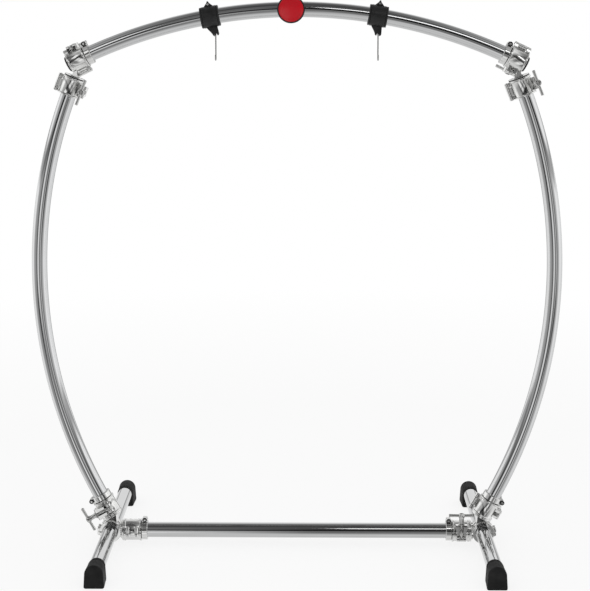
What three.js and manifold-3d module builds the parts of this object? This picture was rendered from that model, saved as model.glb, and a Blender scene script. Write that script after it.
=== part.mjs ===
// Gong stand: a free-standing ring of curved tubes on two legs, joined by hinged clamps.
// Millimetres, +Z up. X runs across the stand, -Y faces the player's side, the floor is Z = 0.
// The origin is on the floor, in the middle of the two legs.
import * as THREE from 'three';
import Module from 'manifold-3d';
import { mergeVertices } from 'three/addons/utils/BufferGeometryUtils.js';

// Driving dimensions: tubes
const tubeDiameter = 38.1;
const tubeWall = 1.6;
const tubeRadius = tubeDiameter / 2;

// Driving dimensions: the upright ring
const ringSetForward = 14;
const postArcRadius = 1235;
const postFootRise = 63;
const postFootShift = 8.15;
const barArcRadius = 1242.2;
const barCrownHeight = 1352.8;
const barClampReach = 537;
const cornerAlong = 43.53;
const cornerDrop = 52.56;

// Driving dimensions: the base
const legHalfSpread = 475;
const legAxisHeight = 34;
const legTotalLength = 660;
const braceInset = 57;
const braceClampReach = legHalfSpread - braceInset;

// Clamp barrel, shared by every clamp
const clampFit = 0.6;
const clampLength = 44;
const clampWall = 6.6;
const clampSplit = 1.5;
const rimHeight = 1.8;
const rimLength = 3.6;
const endPlateThickness = 5;
const runningGap = 0.3;
const tubeEndGap = 0.6;
const boreRadius = tubeRadius + clampFit;
const shellRadius = boreRadius + clampWall;

// Clamp hinge
const knuckleRadius = 5.5;
const knuckleGap = 0.5;
const knuckleHalfLength = 10.7;
const hingeRootGap = 1.2;
const hingePinRadius = 2.6;
const hingeOffset = shellRadius + rimHeight + knuckleRadius + hingeRootGap;
const hingeWebBite = 4;

// Swing bolt, washer and T-nut
const boltRadius = 4;
const boltEyeRadius = 6;
const boltEyeHalfWidth = 4.2;
const boltOffset = shellRadius + boltEyeRadius + runningGap;
const boltPinDrop = 11;
const boltPinRadius = 2.6;
const boltSlotGap = 0.6;
const earThickness = 6.7;
const earRadius = 6.5;
const seatRise = 27;
const lugHalfDepth = 6.5;
const lugTopHalfWidth = 15.5;
const lugFootHalfWidth = 11.5;
const lugRootBite = 3;
const slotHalfWidth = boltEyeHalfWidth + boltSlotGap;
const seatRadius = seatRise + boltPinDrop;
const washerRadius = 8.5;
const washerThickness = 2;
const nutHubRadius = 6.75;
const nutHubHeight = 17;
const nutHeadRadius = 8;
const nutHeadHeight = 9;
const nutArmRadius = 4;
const nutArmHalfLength = 32.5;
const nutBoreGap = 0.4;
const boltEndInset = 3;

// Memory locks
const lockLength = 14;
const lockWall = 5.2;
const lockSlit = 2;
const lockGap = 1.3;
const lockLugHalfDepth = 9;
const lockLugHeight = 8.4;
const lockScrewRadius = 5;
const lockScrewHead = 4;

// Leg collar and joints of the hubs
const collarLength = 40;
const collarSlit = 2;
const collarLugReach = 7;
const collarLugHalfHeight = 8;
const collarLugLength = 30;
const collarBoltRadius = 3.6;
const collarBoltSpacing = 15;
const collarBoltHead = 3;
const serratedRadius = 22;
const serratedThickness = 6;
const serratedTeeth = 14;
const serratedDepth = 1.6;
const serratedSetBack = 25;
const neckHalfWidth = 13;
const neckHalfDepth = 15;
const capLugReach = 9;
const capLugRadius = 5;
const capLugSpacing = 22;
const capLugHeight = 15;
const capBoltRadius = 3;
const capBoltHead = 2.4;

// Rubber boots
const bootLength = 60;
const bootFootWidth = 49;
const bootTopRadius = 22.5;
const bootEndWall = 6;
const bootFit = 0.3;
const bootTaperShare = 0.1;
const bootChamfer = 3;

// Tube end plugs
const plugFlange = 5;
const plugLength = 12;
const plugFit = 0.3;
const plugSet = 0.3;

// Gong hangers
const hangerReachLeft = -211.5;
const hangerReachRight = 198.3;
const bushLength = 46;
const bushFit = 0.9;
const bushWall = 2.6;
const bushFlangeRadius = 25.5;
const bushFlange = 4.5;
const saddleGap = 0.3;
const saddleWall = 3.2;
const saddleEarHeight = 38;
const saddleEarHalfWidth = 11;
const saddleEarDepth = 10;
const saddleEarSlit = 2;
const saddleLugDrop = 47.5;
const saddleLugTopHalfWidth = 13.5;
const saddleLugFootHalfWidth = 8;
const saddleLugHalfDepth = 7;
const saddleLugShift = 7;
const saddleScrewRadius = 2.6;
const saddleScrewProud = 2.5;
const hookWireRadius = 1.6;
const hookPinRadius = 2.2;
const hookPinGap = 0.6;
const hookEyeRadius = 5;
const hookPinRise = 7;
const hookSlotHalfWidth = 3.4;
const hookDrop = 66;
const hookBend = 7;
const hookTip = 6;
const hookEyeTurnShare = 0.85;
const hookEyeTurn = hookEyeTurnShare * 2 * Math.PI;

// Badge
const badgeOffset = -13.5;
const badgeRadius = 33.7;
const badgeThickness = 5;
const badgeDome = 2.4;
const badgeBezel = 3;
const badgeRecess = 1;
const badgeStandOff = 1.2;
const badgeClipLength = 26;
const badgeClipWall = 3;

// Facets of round work
const tubeSides = 16;
const boreSides = 8;
const arcSteps = 16;
const barrelSides = 12;
const smallSides = 8;
const hookSides = 6;
const pinSides = 6;
const hookSteps = 20;
const badgeSides = 20;
const domeSteps = 3;
const seatSteps = 4;
const overrun = 2;
const weldTolerance = 1e-4;
const halfStep = 0.5;

const wasm = await Module();
wasm.setup();
const X_AXIS = new THREE.Vector3(1, 0, 0);

// Solids from three.js geometry, joined and cut
function solid(geometry) {
  const plain = geometry.clone();
  plain.deleteAttribute('normal');
  plain.deleteAttribute('uv');
  const merged = mergeVertices(plain, weldTolerance);
  return new wasm.Manifold(new wasm.Mesh({
    numProp: 3,
    vertProperties: new Float32Array(merged.attributes.position.array),
    triVerts: new Uint32Array(merged.index.array),
  }));
}

function geometryOf(body) {
  const mesh = body.getMesh();
  const geometry = new THREE.BufferGeometry();
  geometry.setAttribute('position', new THREE.BufferAttribute(new Float32Array(mesh.vertProperties), 3));
  geometry.setIndex(new THREE.BufferAttribute(new Uint32Array(mesh.triVerts), 1));
  geometry.computeVertexNormals();
  return geometry;
}

const join = (...bodies) => bodies.reduce((sum, body) => sum.add(body));
const cut = (body, ...tools) => tools.reduce((rest, tool) => rest.subtract(tool), body);

// Radius of a polygon whose flats lie on the circle
const around = (radius, sides) => radius / Math.cos(Math.PI / sides);

function roundPoints(radius, sides) {
  const step = (2 * Math.PI) / sides;
  return Array.from({ length: sides }, (_, i) => new THREE.Vector2(
    radius * Math.cos((i + halfStep) * step), radius * Math.sin((i + halfStep) * step)));
}

function arcPoints(x, y, radius, from, to) {
  const steps = Math.ceil((smallSides * (to - from)) / (2 * Math.PI));
  return Array.from({ length: steps + 1 }, (_, i) => {
    const angle = from + ((to - from) * i) / steps;
    return new THREE.Vector2(x + radius * Math.cos(angle), y + radius * Math.sin(angle));
  });
}

// Outline of a tab, from its root at one x to a round end
function tabPoints(root, x, y, radius) {
  const start = Math.sign(root - x) * (Math.PI / 2);
  const reach = radius * Math.sin(start);
  return [
    new THREE.Vector2(root, y + reach),
    ...arcPoints(x, y, radius, start, start + Math.PI),
    new THREE.Vector2(root, y - reach),
  ];
}

// A prism of an outline in local XY, from z = low to z = high
function prism(points, low, high) {
  const shape = new THREE.Shape(points);
  const geometry = new THREE.ExtrudeGeometry(shape, { depth: high - low, bevelEnabled: false });
  return geometry.translate(0, 0, low);
}

function rod(radius, low, high, sides = barrelSides) {
  return prism(roundPoints(radius, sides), low, high);
}

function box(low, high) {
  const geometry = new THREE.BoxGeometry(high[0] - low[0], high[1] - low[1], high[2] - low[2]);
  return geometry.translate((low[0] + high[0]) / 2, (low[1] + high[1]) / 2, (low[2] + high[2]) / 2);
}

// Half of a ring, on the side of y that `side` gives, its flats held back by half the split
function halfRingPoints(inner, outer, side, gap) {
  const half = barrelSides / 2;
  const arc = (radius, from, to) => {
    const start = Math.asin(gap / radius);
    return Array.from({ length: half + 1 }, (_, i) => {
      const share = i / half;
      const angle = start + (Math.PI - 2 * start) * (from + (to - from) * share);
      return new THREE.Vector2(radius * Math.cos(angle), side * radius * Math.sin(angle));
    });
  };
  return [...arc(outer, 0, 1), ...arc(inner, 1, 0)];
}

const onX = (geometry) => geometry.rotateY(Math.PI / 2);
const onY = (geometry) => geometry.rotateX(-Math.PI / 2);

// Places on the two arcs, with the way that the tube runs there. The post's arc passes through
// its two clamps, which are placed from the leg and from the bar's clamp.
const barArcCentreHeight = barCrownHeight - barArcRadius;

function onBar(x) {
  const angle = Math.asin(x / barArcRadius);
  return {
    place: new THREE.Vector3(x, -ringSetForward, barArcCentreHeight + barArcRadius * Math.cos(angle)),
    along: new THREE.Vector3(Math.cos(angle), 0, -Math.sin(angle)),
  };
}

const barEndPlace = onBar(barClampReach);
const postTop = barEndPlace.place.clone().addScaledVector(barEndPlace.along, cornerAlong)
  .add(new THREE.Vector3(-barEndPlace.along.z, 0, barEndPlace.along.x).multiplyScalar(-cornerDrop));
const postFoot = new THREE.Vector3(
  legHalfSpread + postFootShift, -ringSetForward, legAxisHeight + postFootRise);
const postChord = postTop.clone().sub(postFoot);
const postSagRun = Math.sqrt(postArcRadius ** 2 - postChord.lengthSq() / 4);
const postArcCentre = postFoot.clone().add(postTop).divideScalar(2).addScaledVector(
  new THREE.Vector3(-postChord.z, 0, postChord.x).normalize(), postSagRun);
const postArcCentreHeight = postArcCentre.z;
const postArcCentreOffset = -postArcCentre.x;
const postTopClampHeight = postTop.z;
const postFootClampHeight = postFoot.z;

function onPost(side, height) {
  const angle = Math.asin((height - postArcCentreHeight) / postArcRadius);
  return {
    place: new THREE.Vector3(
      side * (postArcRadius * Math.cos(angle) - postArcCentreOffset), -ringSetForward, height),
    along: new THREE.Vector3(-side * Math.sin(angle), 0, Math.cos(angle)),
  };
}

// Clamp frame: x from hinge to bolt, y towards the nut, z along the tube
function frameAt(place, xWay, yWay) {
  const zWay = new THREE.Vector3().crossVectors(xWay, yWay);
  const matrix = new THREE.Matrix4().makeBasis(xWay, yWay, zWay);
  return matrix.setPosition(place);
}

const material = (color, roughness, metalness) => new THREE.MeshStandardMaterial({
  color, roughness, metalness, flatShading: true,
});
const finishes = {
  chrome: () => material(0xd2d5d8, 0.12, 1),
  cast: () => material(0xc6c8ca, 0.25, 1),
  rubber: () => material(0x1c1c1d, 0.8, 0),
  plastic: () => material(0x242527, 0.55, 0),
  badge: () => material(0xb01420, 0.3, 0),
};

const stand = new THREE.Group();

function add(parent, name, geometry, finish) {
  const mesh = new THREE.Mesh(geometry, finishes[finish]());
  mesh.name = name;
  parent.add(mesh);
  return mesh;
}

function groupAt(matrix) {
  const group = new THREE.Group();
  matrix.decompose(group.position, group.quaternion, group.scale);
  stand.add(group);
  return group;
}

// Arc of a circle in the XZ plane of the ring
class RingArc extends THREE.Curve {
  constructor(centreX, centreZ, radius, from, to) {
    super();
    Object.assign(this, { centreX, centreZ, radius, from, to });
  }

  getPoint(t, target = new THREE.Vector3()) {
    const angle = this.from + (this.to - this.from) * t;
    return target.set(this.centreX + this.radius * Math.cos(angle), -ringSetForward,
      this.centreZ + this.radius * Math.sin(angle));
  }
}

function tubeShape() {
  const shape = new THREE.Shape(roundPoints(tubeRadius, tubeSides));
  shape.holes.push(new THREE.Path(roundPoints(tubeRadius - tubeWall, boreSides).reverse()));
  return shape;
}

function bentTube(curve) {
  return new THREE.ExtrudeGeometry(tubeShape(), { steps: arcSteps, extrudePath: curve });
}

function straightTube(length) {
  return new THREE.ExtrudeGeometry(tubeShape(), { depth: length, bevelEnabled: false })
    .translate(0, 0, -length / 2);
}

// A hinge knuckle with the web that ties it to its half of the clamp, on the side of y given
function knucklePoints(side) {
  const root = -shellRadius + hingeWebBite;
  const start = Math.asin(clampSplit / 2 / knuckleRadius);
  return [
    ...arcPoints(-hingeOffset, 0, knuckleRadius, -start, 1.5 * Math.PI),
    new THREE.Vector2(root, -knuckleRadius),
    new THREE.Vector2(root, -clampSplit / 2),
  ].map((point) => new THREE.Vector2(point.x, -side * point.y));
}

// The half of a clamp that is cast in one with its bracket
function clampBody({ plateEnd = 0, hinged = true }) {
  const half = clampLength / 2;
  const gap = clampSplit / 2;
  const parts = [solid(prism(halfRingPoints(boreRadius, shellRadius, -1, gap), -half, half))];
  for (const end of [-1, 1]) {
    const low = end > 0 ? half - rimLength : -half;
    const rim = halfRingPoints(boreRadius, shellRadius + rimHeight, -1, gap);
    parts.push(solid(prism(rim, low, low + rimLength)));
  }
  if (plateEnd) {
    const outer = half + endPlateThickness;
    const low = Math.min(plateEnd * half, plateEnd * outer);
    const high = Math.max(plateEnd * half, plateEnd * outer);
    const plate = cut(solid(rod(shellRadius, low, high)), solid(box(
      [-hingeOffset, -gap, plateEnd > 0 ? low - overrun : high - runningGap],
      [hingeOffset, hingeOffset, plateEnd > 0 ? low + runningGap : high + overrun])));
    parts.push(plate);
  }
  if (hinged) {
    for (const end of [-1, 1]) {
      const near = knuckleHalfLength + knuckleGap;
      const low = end > 0 ? near : -half;
      const high = end > 0 ? half : -near;
      parts.push(solid(prism(knucklePoints(-1), low, high)));
      const earLow = end > 0 ? slotHalfWidth : -slotHalfWidth - earThickness;
      const earRoot = shellRadius - lugRootBite - hingeWebBite;
      parts.push(solid(prism(tabPoints(earRoot, boltOffset, -boltPinDrop, earRadius),
        earLow, earLow + earThickness)));
    }
    const hingePinReach = half - hingePinRadius;
    parts.push(solid(rod(hingePinRadius, -hingePinReach, hingePinReach, smallSides)
      .translate(-hingeOffset, 0, 0)));
    const pinReach = slotHalfWidth + earThickness / 2;
    parts.push(solid(rod(boltPinRadius, -pinReach, pinReach, smallSides)
      .translate(boltOffset, -boltPinDrop, 0)));
  }
  return cut(join(...parts), solid(rod(around(boreRadius, barrelSides), -half - overrun,
    half + (plateEnd > 0 ? 0 : overrun))
    .translate(0, 0, plateEnd < 0 ? overrun : 0)));
}

// The hinged half: a shell with one knuckle and a flared lug slotted for the swing bolt
function clampJaw() {
  const half = clampLength / 2;
  const gap = clampSplit / 2;
  const parts = [solid(prism(halfRingPoints(boreRadius, shellRadius, 1, gap), -half, half))];
  for (const low of [-half, half - rimLength]) {
    const rim = halfRingPoints(boreRadius, shellRadius + rimHeight, 1, gap);
    parts.push(solid(prism(rim, low, low + rimLength)));
  }
  const reach = knuckleHalfLength;
  parts.push(solid(prism(knucklePoints(1), -reach, reach)));
  const seat = [];
  for (let i = 0; i <= seatSteps; i += 1) {
    const off = lugHalfDepth - (2 * lugHalfDepth * i) / seatSteps;
    seat.push(new THREE.Vector2(boltOffset + off,
      Math.sqrt(seatRadius ** 2 - off ** 2) - boltPinDrop));
  }
  const lug = solid(prism([
    new THREE.Vector2(shellRadius - lugRootBite, gap),
    new THREE.Vector2(boltOffset + lugHalfDepth, gap),
    ...seat,
    new THREE.Vector2(shellRadius - lugRootBite - hingeWebBite, shellRadius / 2),
  ], -lugTopHalfWidth, lugTopHalfWidth));
  const flare = solid(onX(prism([
    new THREE.Vector2(-lugFootHalfWidth, -overrun),
    new THREE.Vector2(lugFootHalfWidth, -overrun),
    new THREE.Vector2(lugFootHalfWidth, shellRadius / 2),
    new THREE.Vector2(lugTopHalfWidth, seatRise - hingeWebBite),
    new THREE.Vector2(lugTopHalfWidth, seatRise + overrun),
    new THREE.Vector2(-lugTopHalfWidth, seatRise + overrun),
    new THREE.Vector2(-lugTopHalfWidth, seatRise - hingeWebBite),
    new THREE.Vector2(-lugFootHalfWidth, shellRadius / 2),
  ], 0, hingeOffset + boltOffset)));
  parts.push(lug.intersect(flare));
  const slotInner = boltOffset - boltRadius - overrun;
  return cut(join(...parts),
    solid(rod(around(boreRadius, barrelSides), -half - overrun, half + overrun)),
    solid(rod(around(hingePinRadius + runningGap, smallSides), -half, half, smallSides)
      .translate(-hingeOffset, 0, 0)),
    solid(box([slotInner, -overrun, -slotHalfWidth],
      [boltOffset + lugHalfDepth + overrun, seatRise + overrun, slotHalfWidth])));
}

const washerFoot = seatRise + runningGap;
const nutFoot = washerFoot + washerThickness + runningGap;
const nutArmHeight = nutFoot + nutHubHeight + nutHeadHeight / 2;
const boltEnd = nutFoot + nutHubHeight + nutHeadHeight - boltEndInset;

function eyebolt() {
  const eye = solid(rod(boltEyeRadius, -boltEyeHalfWidth, boltEyeHalfWidth, smallSides)
    .translate(boltOffset, -boltPinDrop, 0));
  const shank = solid(onY(rod(boltRadius, -boltPinDrop, boltEnd, smallSides))
    .translate(boltOffset, 0, 0));
  return cut(join(eye, shank), solid(rod(around(boltPinRadius + runningGap, smallSides),
    -boltEyeRadius, boltEyeRadius, smallSides).translate(boltOffset, -boltPinDrop, 0)));
}

function washer() {
  const disc = solid(onY(rod(washerRadius, washerFoot, washerFoot + washerThickness, smallSides)));
  const hole = solid(onY(rod(around(boltRadius + nutBoreGap, smallSides), washerFoot - overrun,
    washerFoot + washerThickness + overrun, smallSides)));
  return cut(disc, hole).translate([boltOffset, 0, 0]);
}

// Rounded bar with a domed tip at each end, along z
function armProfile(radius, halfLength) {
  const bevel = radius / 2;
  return [
    new THREE.Vector2(0, -halfLength),
    new THREE.Vector2(radius - bevel, -halfLength),
    new THREE.Vector2(radius, -halfLength + bevel),
    new THREE.Vector2(radius, halfLength - bevel),
    new THREE.Vector2(radius - bevel, halfLength),
    new THREE.Vector2(0, halfLength),
  ];
}

function tNut() {
  const top = nutFoot + nutHubHeight;
  const hub = solid(onY(rod(nutHubRadius, nutFoot, top + overrun, smallSides)));
  const head = solid(onY(rod(nutHeadRadius, top, top + nutHeadHeight, smallSides)));
  const arms = solid(new THREE.LatheGeometry(armProfile(nutArmRadius, nutArmHalfLength), smallSides)
    .rotateX(Math.PI / 2).translate(0, nutArmHeight, 0));
  const bore = solid(onY(rod(around(boltRadius + nutBoreGap, smallSides), nutFoot - overrun,
    top + nutHeadHeight + overrun, smallSides)));
  return cut(join(hub, head, arms), bore).translate([boltOffset, 0, 0]);
}

// Where every clamp sits: its name, place and the ways of its bolt side and of its nut
const FRONT = new THREE.Vector3(0, -1, 0);
const REAR = new THREE.Vector3(0, 1, 0);
const UP = new THREE.Vector3(0, 0, 1);
const across = (along) => new THREE.Vector3(along.z, 0, -along.x);

function barClampFrame(side) {
  const { place, along } = onBar(side * barClampReach);
  return frameAt(place, across(along).multiplyScalar(side), REAR);
}

function postTopFrame(side) {
  const { place, along } = onPost(side, postTopClampHeight);
  return frameAt(place, across(along), FRONT);
}

function postFootFrame(side) {
  const { place, along } = onPost(side, postFootClampHeight);
  const outward = across(along).multiplyScalar(side);
  return side < 0 ? frameAt(place, FRONT, outward) : frameAt(place, outward, REAR);
}

function braceFrame(side) {
  const place = new THREE.Vector3(side * braceClampReach, -ringSetForward, legAxisHeight);
  return frameAt(place, FRONT, UP);
}

const swingClamps = [
  ['bar_left', barClampFrame(-1)],
  ['bar_right', barClampFrame(1)],
  ['post_top_left', postTopFrame(-1)],
  ['post_top_right', postTopFrame(1)],
  ['post_foot_left', postFootFrame(-1)],
  ['post_foot_right', postFootFrame(1)],
  ['brace_right', braceFrame(1)],
];

const jawGeometry = geometryOf(clampJaw());
const eyeboltGeometry = geometryOf(eyebolt());
const washerGeometry = geometryOf(washer());
const nutGeometry = geometryOf(tNut());
for (const [name, frame] of swingClamps) {
  const group = groupAt(frame);
  add(group, `jaw_${name}`, jawGeometry.clone(), 'cast');
  add(group, `eyebolt_${name}`, eyeboltGeometry.clone(), 'chrome');
  add(group, `washer_${name}`, washerGeometry.clone(), 'chrome');
  add(group, `t_nut_${name}`, nutGeometry.clone(), 'chrome');
}

// Which way a frame's own z points, along or against a given way
const endTowards = (frame, way) => Math.sign(
  new THREE.Vector3().setFromMatrixColumn(frame, 2).dot(way));

const placed = (body, frame) => body.transform(frame.elements);

// Space that a bar clamp's jaw and bolt sweep, kept clear of the bracket's neck
function clampKeepOut() {
  const half = clampLength / 2 + knuckleGap;
  const gap = clampSplit / 2;
  const sweep = shellRadius + rimHeight + 2 * hingeRootGap;
  return join(
    solid(prism(halfRingPoints(boreRadius, sweep, 1, -gap / 2), -half, half)),
    solid(box([-hingeOffset - knuckleRadius - hingeRootGap, -knuckleRadius - hingeRootGap,
      -knuckleHalfLength - knuckleGap],
    [-shellRadius, shellRadius, knuckleHalfLength + knuckleGap])),
    solid(box([shellRadius - lugRootBite, -gap, -lugTopHalfWidth - hingeRootGap],
      [hingeOffset + seatRadius, shellRadius, lugTopHalfWidth + hingeRootGap])),
    solid(box([shellRadius + hingeRootGap, -boltPinDrop - earRadius, -washerRadius - hingeRootGap],
      [hingeOffset + seatRadius, shellRadius, washerRadius + hingeRootGap])));
}

// A thick web of a bracket: an outline of places in the ring's plane, as deep as the neck
function neckBetween(places, halfDepth = neckHalfDepth) {
  const outline = places.map((place) => new THREE.Vector2(place.x, place.z));
  return solid(prism(outline, ringSetForward - halfDepth, ringSetForward + halfDepth)
    .rotateX(Math.PI / 2));
}

// Corner brackets: the top bar's clamp above, the post's clamp below, and the neck between them
function cornerBracket(side) {
  const barFrame = barClampFrame(side);
  const postFrame = postTopFrame(side);
  const { along } = onPost(side, postTopClampHeight);
  const bar = onBar(side * barClampReach);
  const down = across(bar.along).negate();
  down.multiplyScalar(Math.sign(-down.z));
  const outward = bar.along.clone().multiplyScalar(side);
  const plateTop = new THREE.Vector3().setFromMatrixPosition(postFrame)
    .addScaledVector(along, clampLength / 2 + endPlateThickness / 2);
  const acrossPost = across(along).multiplyScalar(side);
  const barPlace = new THREE.Vector3().setFromMatrixPosition(barFrame);
  const corner = (out, drop) => barPlace.clone().addScaledVector(outward, out).addScaledVector(down, drop);
  const outline = [
    plateTop.clone().addScaledVector(acrossPost, -neckHalfWidth),
    plateTop.clone().addScaledVector(acrossPost, neckHalfWidth),
    corner(clampLength / 2, boreRadius + clampWall / 2),
    corner(knuckleHalfLength + knuckleGap, boreRadius + clampWall / 2),
  ];
  const neck = neckBetween(outline);
  const trimmed = cut(neck, placed(clampKeepOut(), barFrame));
  const bodies = join(placed(clampBody({}), barFrame),
    placed(clampBody({ plateEnd: endTowards(postFrame, along) }), postFrame), trimmed);
  const barBore = solid(rod(around(boreRadius, barrelSides), -clampLength, clampLength));
  return cut(bodies, placed(barBore, barFrame));
}

// Leg collar along Y with a slit and two pinch bolts on its outer side
function legCollar(side) {
  const half = collarLength / 2;
  const lugOut = shellRadius + collarLugReach;
  const parts = [solid(rod(shellRadius, -half, half))];
  for (const low of [-half, half - rimLength]) {
    parts.push(solid(rod(shellRadius + rimHeight, low, low + rimLength)));
  }
  const lugHalf = collarLugLength / 2;
  parts.push(solid(box([shellRadius - lugRootBite, -collarLugHalfHeight, -lugHalf],
    [lugOut, collarLugHalfHeight, lugHalf])));
  for (const at of [-collarBoltSpacing / 2, collarBoltSpacing / 2]) {
    parts.push(solid(onY(rod(collarBoltRadius, -collarLugHalfHeight - collarBoltHead,
      collarLugHalfHeight + collarBoltHead, smallSides))
      .translate(lugOut - collarBoltRadius, 0, at)));
  }
  const slit = collarSlit / 2;
  const collar = cut(join(...parts),
    solid(rod(around(boreRadius, barrelSides), -half - overrun, half + overrun)),
    solid(box([boreRadius / 2, -slit, -half - overrun],
      [lugOut - 2 * collarBoltRadius, slit, half + overrun])));
  const place = new THREE.Vector3(side * legHalfSpread, -ringSetForward, legAxisHeight);
  return placed(collar, frameAt(place, new THREE.Vector3(side, 0, 0), UP));
}

// Toothed disc that sets the angle between the leg collar and the brace clamp
function serratedDisc(side) {
  const points = [];
  for (let i = 0; i < 2 * serratedTeeth; i += 1) {
    const angle = (Math.PI * i) / serratedTeeth;
    const radius = serratedRadius - (i % 2) * serratedDepth;
    points.push(new THREE.Vector2(radius * Math.cos(angle), radius * Math.sin(angle)));
  }
  const centre = legHalfSpread - serratedSetBack;
  const disc = onX(prism(points, centre - serratedThickness, centre));
  disc.translate(0, -ringSetForward, legAxisHeight);
  return solid(side > 0 ? disc : disc.rotateZ(Math.PI).translate(0, -2 * ringSetForward, 0));
}

// The left brace clamp is closed by a cap with screws through round lugs, front and rear
function capLugs(low, high) {
  const parts = [];
  for (const face of [-1, 1]) {
    for (const at of [-capLugSpacing / 2, capLugSpacing / 2]) {
      const root = face * (shellRadius - lugRootBite);
      const offset = face * (shellRadius + capLugReach - capLugRadius);
      parts.push(solid(onY(prism(tabPoints(root, offset, at, capLugRadius), low, high))));
    }
  }
  return join(...parts);
}

function capBody(plateEnd) {
  const half = clampLength / 2;
  const bore = solid(rod(around(boreRadius, barrelSides), -half - overrun, half + overrun)
    .translate(0, 0, -plateEnd * overrun));
  return cut(join(clampBody({ plateEnd, hinged: false }), capLugs(-capLugHeight / 2, -clampSplit / 2)),
    bore);
}

function braceCap() {
  const half = clampLength / 2;
  const parts = [solid(prism(halfRingPoints(boreRadius, shellRadius, 1, clampSplit / 2), -half, half)),
    capLugs(clampSplit / 2, capLugHeight)];
  for (const face of [-1, 1]) {
    for (const at of [-capLugSpacing / 2, capLugSpacing / 2]) {
      const offset = face * (shellRadius + capLugReach - capLugRadius);
      parts.push(solid(onY(rod(capBoltRadius, capLugHeight - overrun, capLugHeight + capBoltHead,
        smallSides)).translate(offset, 0, at)));
    }
  }
  return cut(join(...parts), solid(rod(around(boreRadius, barrelSides), -half - overrun, half + overrun)));
}

// Hub brackets: leg collar, post clamp above it and brace clamp beside it, in one casting
function hubBracket(side) {
  const postFrame = postFootFrame(side);
  const footFrame = braceFrame(side);
  const { along } = onPost(side, postFootClampHeight);
  const leg = new THREE.Vector3(side * legHalfSpread, -ringSetForward, legAxisHeight);
  const plate = new THREE.Vector3().setFromMatrixPosition(postFrame)
    .addScaledVector(along, -clampLength / 2 - endPlateThickness / 2);
  const acrossPost = across(along);
  const neck = neckBetween([
    plate.clone().addScaledVector(acrossPost, -neckHalfWidth),
    plate.clone().addScaledVector(acrossPost, neckHalfWidth),
    leg.clone().addScaledVector(X_AXIS, boreRadius),
    leg.clone().addScaledVector(X_AXIS, -boreRadius),
  ]);
  const downPost = along.clone().negate();
  const outwards = new THREE.Vector3(side, 0, 0);
  const braceEnd = endTowards(footFrame, outwards);
  const brace = side < 0 ? capBody(braceEnd) : clampBody({ plateEnd: braceEnd });
  const legBore = solid(onY(rod(around(boreRadius, barrelSides), -legTotalLength, legTotalLength))
    .translate(leg.x, 0, leg.z));
  return cut(join(legCollar(side), serratedDisc(side), neck,
    placed(clampBody({ plateEnd: endTowards(postFrame, downPost) }), postFrame),
    placed(brace, footFrame)), legBore);
}

// Memory lock: a slit ring with lugs and a screw head facing the front; x is its lug's way
function memoryLock() {
  const half = lockLength / 2;
  const outer = boreRadius + lockWall;
  const lugTop = outer + lockLugHeight;
  const screw = lugTop - lockScrewRadius;
  const slit = lockSlit / 2;
  const ring = join(solid(rod(outer, -half, half)),
    solid(box([boreRadius, -lockLugHalfDepth, -half], [lugTop, lockLugHalfDepth, half])));
  const open = cut(ring,
    solid(rod(around(boreRadius, barrelSides), -half - overrun, half + overrun)),
    solid(box([boreRadius / 2, -slit, -half - overrun], [lugTop + overrun, slit, half + overrun])));
  const bolt = solid(onY(rod(lockScrewRadius, -lockLugHalfDepth - lockScrewHead,
    lockLugHalfDepth - lockScrewHead, smallSides)).translate(screw, 0, 0));
  return join(open, bolt);
}

// Rubber boot: a round-topped block, flat below, narrower towards the leg, with a blind bore
function boot(end) {
  const halfWidth = bootFootWidth / 2;
  const shape = new THREE.Shape();
  shape.moveTo(-halfWidth, 0);
  shape.lineTo(halfWidth, 0);
  shape.lineTo(bootTopRadius, legAxisHeight);
  shape.absarc(0, legAxisHeight, bootTopRadius, 0, Math.PI, false);
  shape.closePath();
  const body = new THREE.ExtrudeGeometry(shape, {
    depth: bootLength - bootChamfer, bevelEnabled: false, curveSegments: smallSides + 2,
  });
  const nose = new THREE.ExtrudeGeometry(shape, {
    depth: bootChamfer, bevelEnabled: false, curveSegments: smallSides + 2,
  }).translate(0, 0, bootLength - bootChamfer);
  for (const geometry of [body, nose]) {
    const points = geometry.attributes.position;
    for (let i = 0; i < points.count; i += 1) {
      const far = points.getZ(i) / bootLength;
      const share = 1 - bootTaperShare * Math.max(0, 1 - far / (1 - bootChamfer / bootLength));
      const pull = far > 1 - bootChamfer / bootLength / 2 ? 1 - bootChamfer / bootTopRadius : share;
      points.setX(i, points.getX(i) * pull);
      if (points.getY(i) > legAxisHeight) {
        points.setY(i, legAxisHeight + (points.getY(i) - legAxisHeight) * Math.max(pull, share));
      }
    }
  }
  const bore = rod(around(tubeRadius + bootFit, barrelSides), -overrun, bootLength - bootEndWall)
    .translate(0, legAxisHeight, 0);
  const block = cut(join(solid(body), solid(nose)), solid(bore));
  return geometryOf(block).rotateX(Math.PI / 2).rotateZ(end > 0 ? Math.PI : 0)
    .translate(0, end * (legTotalLength / 2 - bootLength), 0);
}

// Black plug in each end of the top bar
function barPlug() {
  const inner = tubeRadius - tubeWall - plugFit;
  return join(solid(rod(inner * Math.cos(Math.PI / boreSides), -plugLength, plugSet, boreSides)),
    solid(rod(tubeRadius, plugSet, plugSet + plugFlange, tubeSides)));
}

// Hanger bush: a flanged sleeve round the top bar, along local z
const bushBore = tubeRadius + bushFit;
const bushRadius = bushBore + bushWall;

function hangerBush() {
  const half = bushLength / 2;
  const sleeve = solid(rod(bushRadius, -half, half));
  const flanges = [-half, half - bushFlange]
    .map((low) => solid(rod(bushFlangeRadius, low, low + bushFlange)));
  return cut(join(sleeve, ...flanges),
    solid(rod(around(bushBore, barrelSides), -half - overrun, half + overrun)));
}

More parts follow.
